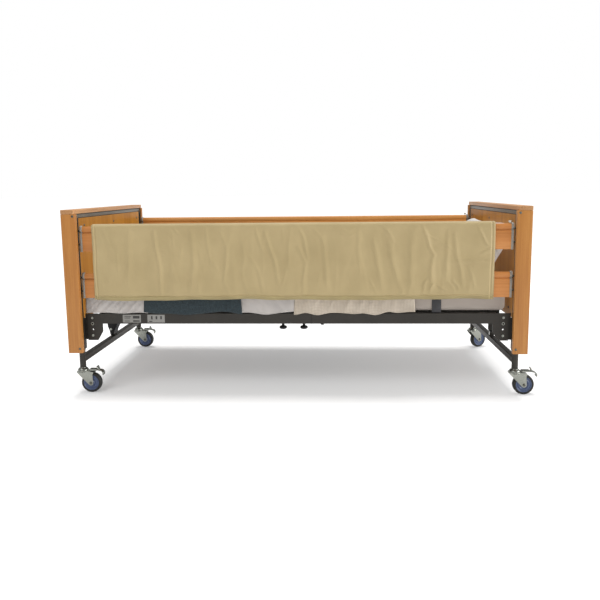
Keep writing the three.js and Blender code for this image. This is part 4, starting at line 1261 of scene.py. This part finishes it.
@dataclass
class Cover:
    """A sheet or blanket over the mattress, smoothed down both sides to a little below its lower edge."""
    name: str
    finish: Cloth
    slot: str
    nodes: tuple[str, ...]
    x0: float
    x1: float
    carry: Carry
    seed: int
    under: str
    thick: float = 2.5
    crease: float = 3.0
    crease_lean: float = 0.5
    pitch: tuple[float, float] = (60.0, 160.0)
    slant: float = 0.8
    drop: float = 6.0
    flare: float = 4.0
    hem_wave: float = 5.0
    edge_wave: float = 3.0
    clear_y: float = 457.0
    widest_y: float = 461.0
    stand_off: float = 1.0
    tucked: bool = True
    step_across: float = 9.0
    step_along: float = 6.0

    def build(self, mattress: Mattress) -> None:
        """Makes and places the cover over a mattress."""
        w, lo, hi = mattress.half_width + 3.0, mattress.low - self.drop, mattress.high + 2.2
        corners = [(-(w + self.flare), lo), (-w, hi), (w, hi), (w + self.flare, lo)]
        line = rounded(corners, mattress.round_edge, 9, closed=False)
        lengths = run_along(line)
        steps = np.unique(np.concatenate([np.arange(0, lengths[-1], self.step_across), lengths]))
        path = resampled(line, steps)
        x = np.linspace(self.x0, self.x1, int((self.x1 - self.x0) / self.step_along) + 1)
        grid_x, s = np.meshgrid(x, np.arange(len(path)), indexing="ij")
        tangent = directions(path)
        out = np.stack([-tangent[:, 1], tangent[:, 0]], -1)
        run = steps[s]
        lift = self.folds(grid_x, run, path[s], hi)
        y = path[s, 0] + out[s, 0] * lift
        z = path[s, 1] + out[s, 1] * lift
        low_part = np.clip((mattress.low + 45 - z) / 45, 0, 1)
        z = z + self.hem_wave * low_part * Ripple(self.seed + 7, (90, 300))(grid_x, np.sign(y) * 50)
        y = np.sign(y) * np.where(z < mattress.low - 4, np.maximum(np.abs(y), self.clear_y), np.abs(y))
        y = np.clip(y, self.thick - self.widest_y, self.widest_y - self.thick)
        edge = self.edge_wave * Ripple(self.seed + 9, (120, 380))(run, run * 0)
        pull = (grid_x - self.x0) / (self.x1 - self.x0)
        points = np.stack([grid_x + edge * (2 * pull - 1), y, z], -1)
        skin = Skin()
        skin.grid(points)
        piece = skin.piece(self.name, self.finish, smooth=80)
        solid = piece.modifiers.new("cloth_thickness", "SOLIDIFY")
        solid.thickness = self.thick * METRE
        solid.offset = 1.0
        body_a, body_b, start, end = self.carry.value
        if body_a == body_b:
            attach(piece, body_a)
        else:
            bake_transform(piece)
        dressed(piece, self.slot, *self.nodes)

    def folds(self, x: Array, run: Array, path: Array, hi: float) -> Array:
        """How far the cloth stands off: slanting creases on the sides, soft swells on the top."""
        on_side = np.clip((hi - path[..., 1]) / 20, 0, 1)
        broad = Ripple(self.seed, (140, 420))(x, run)
        slant = x - self.slant * np.abs(path[..., 1])
        crease = Ripple(self.seed + 1, self.pitch, 16, self.crease_lean)(slant, run * 0.3)
        sharp = np.clip(1 - np.abs(crease) * 1.3, 0, 1) ** 1.5
        side_lift = self.crease * sharp + 1.2 * (1 + np.clip(broad, -1, 1))
        top_lift = 1.2 + 1.5 * (1 + np.clip(broad, -1, 1)) + 0.3 * self.crease * sharp
        tucked = np.clip(np.minimum(x - self.x0, self.x1 - x) / 30, 0, 1) if self.tucked else 1.0
        return self.stand_off + tucked * (on_side * side_lift + (1 - on_side) * top_lift)


@dataclass
class Strap:
    """The webbing strap around the mattress near its head end."""
    x0: float = 661.0
    x1: float = 705.0
    thick: float = 2.0

    def build(self, mattress: Mattress) -> None:
        """Makes and places the strap as a band that runs round the mattress's section."""
        w, lo, hi = mattress.half_width + 2.2, mattress.low, mattress.high + 1.5
        line = rounded([(-(w - 12), lo - 5.5), (-w, lo - 5.5), (-w, hi), (w, hi), (w, lo - 5.5),
                        (w - 12, lo - 5.5)],
                       mattress.round_edge - 2, 9, closed=False)
        line = np.concatenate([np.linspace(line[i], line[i + 1], 8,
                                           endpoint=False) for i in range(len(line) - 1)] + [line[-1:]])
        tangent = directions(line)
        out = np.stack([-tangent[:, 1], tangent[:, 0]], -1)
        section = rounded([(self.x0, 0), (self.x1, 0), (self.x1, self.thick), (self.x0, self.thick)], 0.8,
                          2)
        rings = np.stack([np.insert(centre + section[:, 1:] * normal, 0, section[:, 0], axis=1)
                          for centre, normal in zip(line, out)])
        skin = Skin()
        skin.grid(rings, wrap=True, caps=True)
        install(skin.piece("mattress_strap", STRAP_WEB), "backrest", "strap_webbing")


@dataclass
class Pillow:
    """A soft pillow leaning on the head panel, with an edge seam, drawn-in sides and slack creases."""
    centre: Point = (930.0, -112.0, 680.0)
    half_length: float = 168.0
    half_width: float = 300.0
    half_thick: float = 71.0
    lean: float = 59.0
    skew: float = 0.058
    panel_x: float = 1036.0
    across: int = 96
    along: int = 60

    def build(self) -> None:
        """Makes and places the pillow: two crowned faces on one grid, sewn together along their edge."""
        u, v = np.meshgrid(np.linspace(-1, 1, self.across), np.linspace(-1, 1, self.along), indexing="ij")
        crown = (np.clip(1 - np.abs(u) ** 5, 0, 1) * np.clip(1 - np.abs(v) ** 4, 0, 1)) ** 0.5
        draw_in = 1 - 0.07 * (1 - v ** 2)
        draw_up = 1 - 0.09 * (1 - u ** 2)
        wide = u * self.half_width * draw_in
        tall = v * self.half_length * draw_up
        near_edge = 1 - crown
        creases = Ripple(51, (45, 120))(wide, tall) * near_edge * 4 + Ripple(52, (120, 260))(wide,
                                                                                             tall) * 3 * crown
        skin = Skin()
        for face in (-1, 1):
            deep = face * (self.half_thick * crown + creases * crown ** 0.4 * face * 0.6)
            skin.grid(self.leaned(wide, tall, deep))
        pillow = skin.piece("pillow_case", SHADED_PILLOW_COTTON, smooth=80)
        work = bmesh.new()
        work.from_mesh(pillow.data)
        bmesh.ops.remove_doubles(work, verts=work.verts, dist=0.0002)
        bmesh.ops.recalc_face_normals(work, faces=work.faces)
        work.to_mesh(pillow.data)
        work.free()
        install(pillow, "backrest", "pillow_cotton", "pillow")
        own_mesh(pillow)

    def leaned(self, wide: Array, tall: Array, deep: Array) -> Array:
        """Places a point of the flat pillow on the leaning one."""
        turn = math.radians(self.lean)
        x = self.centre[0] + tall * math.cos(turn) - deep * math.sin(turn) - self.skew * wide
        x = np.minimum(x, self.panel_x)
        z = self.centre[2] + tall * math.sin(turn) + deep * math.cos(turn)
        return np.stack([x, self.centre[1] + wide, z], -1)


# ------------------------------------------------------------------ chassis details
@dataclass
class ChassisDetails:
    """Hand screws, corner bolts and two small labels on the chassis, whose frames keep their CAD shape."""
    face_y: float = -455.0
    hole_x: float = 1000.0
    hole_z: tuple[float, ...] = (379.0, 350.0, 320.5, 291.0)
    knob_x: tuple[float, float] = (-57.0, 45.0)
    knob_y: float = 437.5
    rail_low: float = 350.0
    joint_x: float = 81.0
    stud_x: float = 135.0

    def build(self) -> None:
        """Makes and places the details and paints the frames."""
        repaint(POWDER_COAT, ["head_chassis", "foot_chassis", "seat_deck", "backrest_frame", "thigh_frame",
                              "calf_frame"])
        repaint(BLACK_PLASTIC, ["backrest_motor", "knee_motor"])
        repaint(ROD_STEEL, ["backrest_rod", "knee_rod"])
        for side in Side:
            for number, x in enumerate(self.knob_x, 1):
                self.knob(side, number, x)
            self.joint(side)
            for end in End:
                self.bolts(end, side)
        self.labels()

    def knob(self, side: Side, number: int, x: float) -> None:
        """A mushroom hand screw with a fluted rim."""
        skin = Skin()
        low = self.rail_low
        profile = [(0, low - 28), (12, low - 28), (18, low - 25), (19, low - 20), (17, low - 15),
                   (9, low - 12), (6.5, low - 10),
                   (6.5, low - 0.6), (0, low - 0.6)]
        centre = (x, side.value * self.knob_y, 0)
        turned(skin, rounded(profile, 2.0, 4, closed=False), centre, 2, 48)
        points = skin.points[-1]
        local = points - np.array(centre)
        radius = np.hypot(local[:, 0], local[:, 1])
        flute = 1 - 0.05 * (0.5 + 0.5 * np.cos(12 * np.arctan2(local[:, 1],
                                                               local[:, 0]))) * np.clip((radius - 14) / 4,
                                                                                        0, 1)
        points[:, :2] = np.array(centre)[:2] + local[:, :2] * flute[:, None]
        body = f"{side.label}_knob_{number}"
        install(skin.piece(f"{side.label}_hand_screw_{number}", BLACK_PLASTIC), body, "knob_plastic",
                f"{side.label}_clamp_knob_{number}")

    def bolts(self, end: End, side: Side) -> None:
        """Hexagon bolts in the first and last hole of a corner plate and a dark plug in the second."""
        skin = Skin()
        x, y = end.value * self.hole_x, side.value * -self.face_y
        for z in (self.hole_z[0], self.hole_z[3]):
            hexagon = np.array([(5.2, 0), (5.2, 3.0), (4.4, 4.0), (0, 4.0)])
            profile = np.concatenate([[[0, -11.0], [4.8, -11.0], [4.8, 0]], hexagon])
            profile[:, 1] *= side.value
            turned(skin, profile, (x, y, z), 1, 6)
            washer = np.array([(0, -0.2), (6.2, -0.2), (6.2, 0.9), (0, 0.9)])
            washer[:, 1] *= side.value
            turned(skin, washer, (x, y, z), 1, 28)
        collar = np.array([(4.9, -0.2), (7.2, -0.2), (7.2, 0.8), (4.9, 0.8)])
        collar[:, 1] *= side.value
        ring_turned(skin, collar, (x, y, self.hole_z[1]), 1, 28)
        install(skin.piece(f"{end.label}_{side.label}_corner_bolts", ZINC, smooth=30), "bed", "zinc_plate")
        plug = Skin()
        profile = np.array([(0, -11.0), (4.9, -11.0), (4.9, -1.6), (3.5, -1.0), (0, -1.0)])
        profile[:, 1] *= side.value
        turned(plug, profile, (x, y, self.hole_z[1]), 1, 20)
        install(plug.piece(f"{end.label}_{side.label}_hole_plug", BLACK_PLASTIC), "bed", "knob_plastic")

    def joint(self, side: Side) -> None:
        """The dark seal where the chassis halves meet, and the small stop stud under the rail."""
        skin = Skin()
        ys = sorted((side.value * 420.5, side.value * (-self.face_y + 0.5)))
        block(skin, (self.joint_x - 1.0, ys[0], self.rail_low - 0.5),
              (self.joint_x + 1.0, ys[1], self.rail_low + 50.5), 0, 1, 0.2)
        stud = [(0, -9), (7, -8), (9, -4), (9, 0), (0, 0)]
        turned(skin, np.array(stud) + np.array([0, self.rail_low]),
               (self.stud_x, side.value * self.knob_y, 0), 2, 24)
        install(skin.piece(f"{side.label}_chassis_seal_and_stud", BLACK_PLASTIC), "bed", "knob_plastic")

    def labels(self) -> None:
        """Two pale film labels with plain bars, which say nothing."""
        plain = Skin()
        ink = Skin()
        for x0, x1 in ((-847, -757), (-724, -638)):
            block(plain, (x0, self.face_y - 0.7, 356), (x1, self.face_y + 0.1, 395), 1, 2, 0.2)
        for x0, x1, z0, z1 in ((-796, -763, 376, 389), (-796, -763, 360, 367), (-838, -806, 384, 387),
                               (-838, -810, 377, 380),
                               (-838, -812, 362, 365), (-706, -698, 372, 388), (-683, -675, 372, 388),
                               (-660, -652, 372, 388),
                               (-716, -700, 359, 364)):
            block(ink, (x0, self.face_y - 1.0, z0), (x1, self.face_y - 0.6, z1), 1, 1.2, 0.1)
        install(plain.piece("chassis_labels", LABEL_FILM), "bed", "label_film")
        install(ink.piece("chassis_label_bars", LABEL_INK), "bed", "label_film")


# ------------------------------------------------------------------ studio
@dataclass
class Studio:
    """A white floor, broad soft lights and the camera."""
    eye: Point = (181.989, -3353.614, 993.383)
    pitch: float = 7.573
    yaw: float = 2.797
    roll: float = -0.604
    sensor_mm: float = 36.0
    lens_mm: float = 36.56946
    shift: tuple[float, float] = (-0.003895, -0.048045)
    floor_size: float = 200.0
    paper: float = 0.9
    glow: float = 0.08
    sky: float = 0.45
    sun: float = 2.15
    sun_angle: float = 20.0
    sun_tilt: float = -7.0
    key_place: Point = (9.0, -1.9, 3.4)
    key_aim: Point = (0.0, -0.4, 0.5)
    key_size: tuple[float, float] = (4.0, 3.0)
    key_power: float = 640.0
    fill_place: Point = (-2.4, -3.4, 4.0)
    fill_aim: Point = (0.0, 0.0, 0.5)
    fill_size: tuple[float, float] = (3.0, 2.0)
    fill_power: float = 66.0

    def build(self) -> None:
        """Makes the floor, the lights and the camera."""
        self.camera()
        self.floor()
        self.lights()

    def camera(self) -> None:
        """A camera whose axes come from yaw, pitch and roll, with a small shift that frames the bed."""
        pitch, yaw, roll = (math.radians(a) for a in (self.pitch, self.yaw, self.roll))
        ahead = np.array([-math.sin(yaw) * math.cos(pitch), math.cos(yaw) * math.cos(pitch),
                          -math.sin(pitch)])
        right = np.array([math.cos(yaw), math.sin(yaw), 0])
        up = np.cross(right, ahead)
        turned_right = math.cos(roll) * right + math.sin(roll) * up
        turned_up = -math.sin(roll) * right + math.cos(roll) * up
        lens = bpy.data.cameras.new("studio_camera")
        lens.sensor_width = self.sensor_mm
        lens.lens = self.lens_mm
        lens.shift_x = self.shift[0]
        lens.shift_y = self.shift[1]
        camera = bpy.data.objects.new("studio_camera", lens)
        axes = np.eye(4)
        axes[:3, 0], axes[:3, 1], axes[:3, 2], axes[:3, 3] = turned_right, turned_up, -ahead, row(*self.eye)
        camera.matrix_world = axes.T.tolist()
        bpy.context.scene.collection.objects.link(camera)
        bpy.context.scene.camera = camera

    def floor(self) -> None:
        """A white matt floor, a little self-lit like paper on a light table, so its shadows stay soft."""
        mesh = bpy.data.meshes.new("studio_floor")
        half = self.floor_size / 2
        mesh.from_pydata([(-half, -half, 0), (half, -half, 0), (half, half, 0), (-half, half, 0)], [],
                         [(0, 1, 2, 3)])
        material = bpy.data.materials.new("paper_white_matt")
        material.use_nodes = True
        principled = material.node_tree.nodes["Principled BSDF"]
        principled.inputs["Base Color"].default_value = (self.paper, self.paper, self.paper, 1)
        principled.inputs["Roughness"].default_value = 0.9
        principled.inputs["Specular IOR Level"].default_value = 0.0
        principled.inputs["Emission Color"].default_value = (1, 1, 1, 1)
        principled.inputs["Emission Strength"].default_value = self.glow
        mesh.materials.append(material)
        floor = bpy.data.objects.new("studio_floor", mesh)
        bpy.context.scene.collection.objects.link(floor)

    def lights(self) -> None:
        """A soft sky whose background stays white, a wide sun almost overhead and two large lamps."""
        scene = bpy.context.scene
        scene.view_settings.view_transform = "Standard"
        world = bpy.data.worlds.new("studio_surround")
        scene.world = world
        world.use_nodes = True
        tree = world.node_tree
        tree.nodes.clear()
        path = add_node(tree, "ShaderNodeLightPath")
        strength = add_node(tree, "ShaderNodeMapRange",
                            {"Value": path.outputs["Is Camera Ray"], "To Min": self.sky, "To Max": 1.0})
        background = add_node(tree, "ShaderNodeBackground",
                              {"Color": (1, 1, 1, 1), "Strength": strength.outputs[0]})
        add_node(tree, "ShaderNodeOutputWorld", {"Surface": background.outputs[0]})
        sun = bpy.data.lights.new("overhead_sun", "SUN")
        sun.energy = self.sun
        sun.angle = math.radians(self.sun_angle)
        overhead = bpy.data.objects.new("overhead_sun", sun)
        overhead.rotation_euler = (math.radians(self.sun_tilt), 0, 0)
        scene.collection.objects.link(overhead)
        self.softbox("head_end_softbox", self.key_place, self.key_aim, self.key_size, self.key_power,
                     shadow=False)
        self.softbox("front_softbox", self.fill_place, self.fill_aim, self.fill_size, self.fill_power,
                     shadow=True)

    def softbox(self, name: str, place: Point, aim: Point, size: tuple[float, float], power: float,
                shadow: bool) -> None:
        """Adds a rectangular lamp at a place in metres, facing aim; a reflected glow casts no shadow."""
        lamp = bpy.data.lights.new(name, "AREA")
        lamp.shape = "RECTANGLE"
        lamp.size, lamp.size_y = size
        lamp.energy = power
        lamp.use_shadow = shadow
        made = bpy.data.objects.new(name, lamp)
        made.location = place
        way = np.array(aim) - np.array(place)
        made.rotation_euler = (math.atan2(math.hypot(way[0], way[1]), -way[2]), 0,
                               math.atan2(way[1], way[0]) - math.pi / 2)
        bpy.context.scene.collection.objects.link(made)


# ------------------------------------------------------------------ the whole bed
def bedding() -> None:
    """Makes the mattress, its covers, the strap and the pillow."""
    mattress = Mattress()
    mattress.build()
    covers = (Cover("white_foot_sheet", WHITE_COTTON, "white_cotton", ("foot_sheet",), -1026, -722,
                    Carry.CALF, 61,
                    "mattress_foot_length", 1.8, 6.0, 0.5, (40, 100), 1.0, 7.0, hem_wave=2.0),
              Cover("dark_teal_blanket", TEAL_FLEECE, "teal_fleece", ("teal_blanket",), -738, -256,
                    Carry.KNEE, 71,
                    "mattress_foot_length", 3.5, 3.0, 0.5, (120, 300), 0.3, 8.0, stand_off=4.5,
                    tucked=False),
              Cover("white_thigh_blanket", WHITE_COTTON, "white_cotton", ("white_blanket",), -262, 6,
                    Carry.THIGH, 81,
                    "mattress_seat_length", 2.5, 4.5, 0.5, (70, 160), -0.9, 7.0),
              Cover("cream_waffle_blanket", CREAM_WAFFLE, "cream_waffle", ("waffle_blanket",), 0, 578,
                    Carry.BACK, 91,
                    "mattress_head_length", 3.0, 4.0, 0.5, (90, 260), 0.4, 8.0, hem_wave=6.0, stand_off=4.0,
                    tucked=False))
    for cover in covers:
        cover.build(mattress)
    Strap().build(mattress)
    Pillow().build()


def main() -> None:
    """Builds every sub-assembly in order."""
    logging.basicConfig(level=logging.INFO, format="%(message)s")
    Studio().build()
    for end in End:
        WoodenEnd(end).build()
        LegFrame(end).build()
        for side in Side:
            Castor(end, side, 25.0 if (end, side) == (End.HEAD, Side.FAR) else 0.0).build()
    LiftDrives().build()
    for side in Side:
        SideRail(side).build()
    BumperPad().build()
    bedding()
    ChassisDetails().build()


if __name__ == "__main__":
    main()
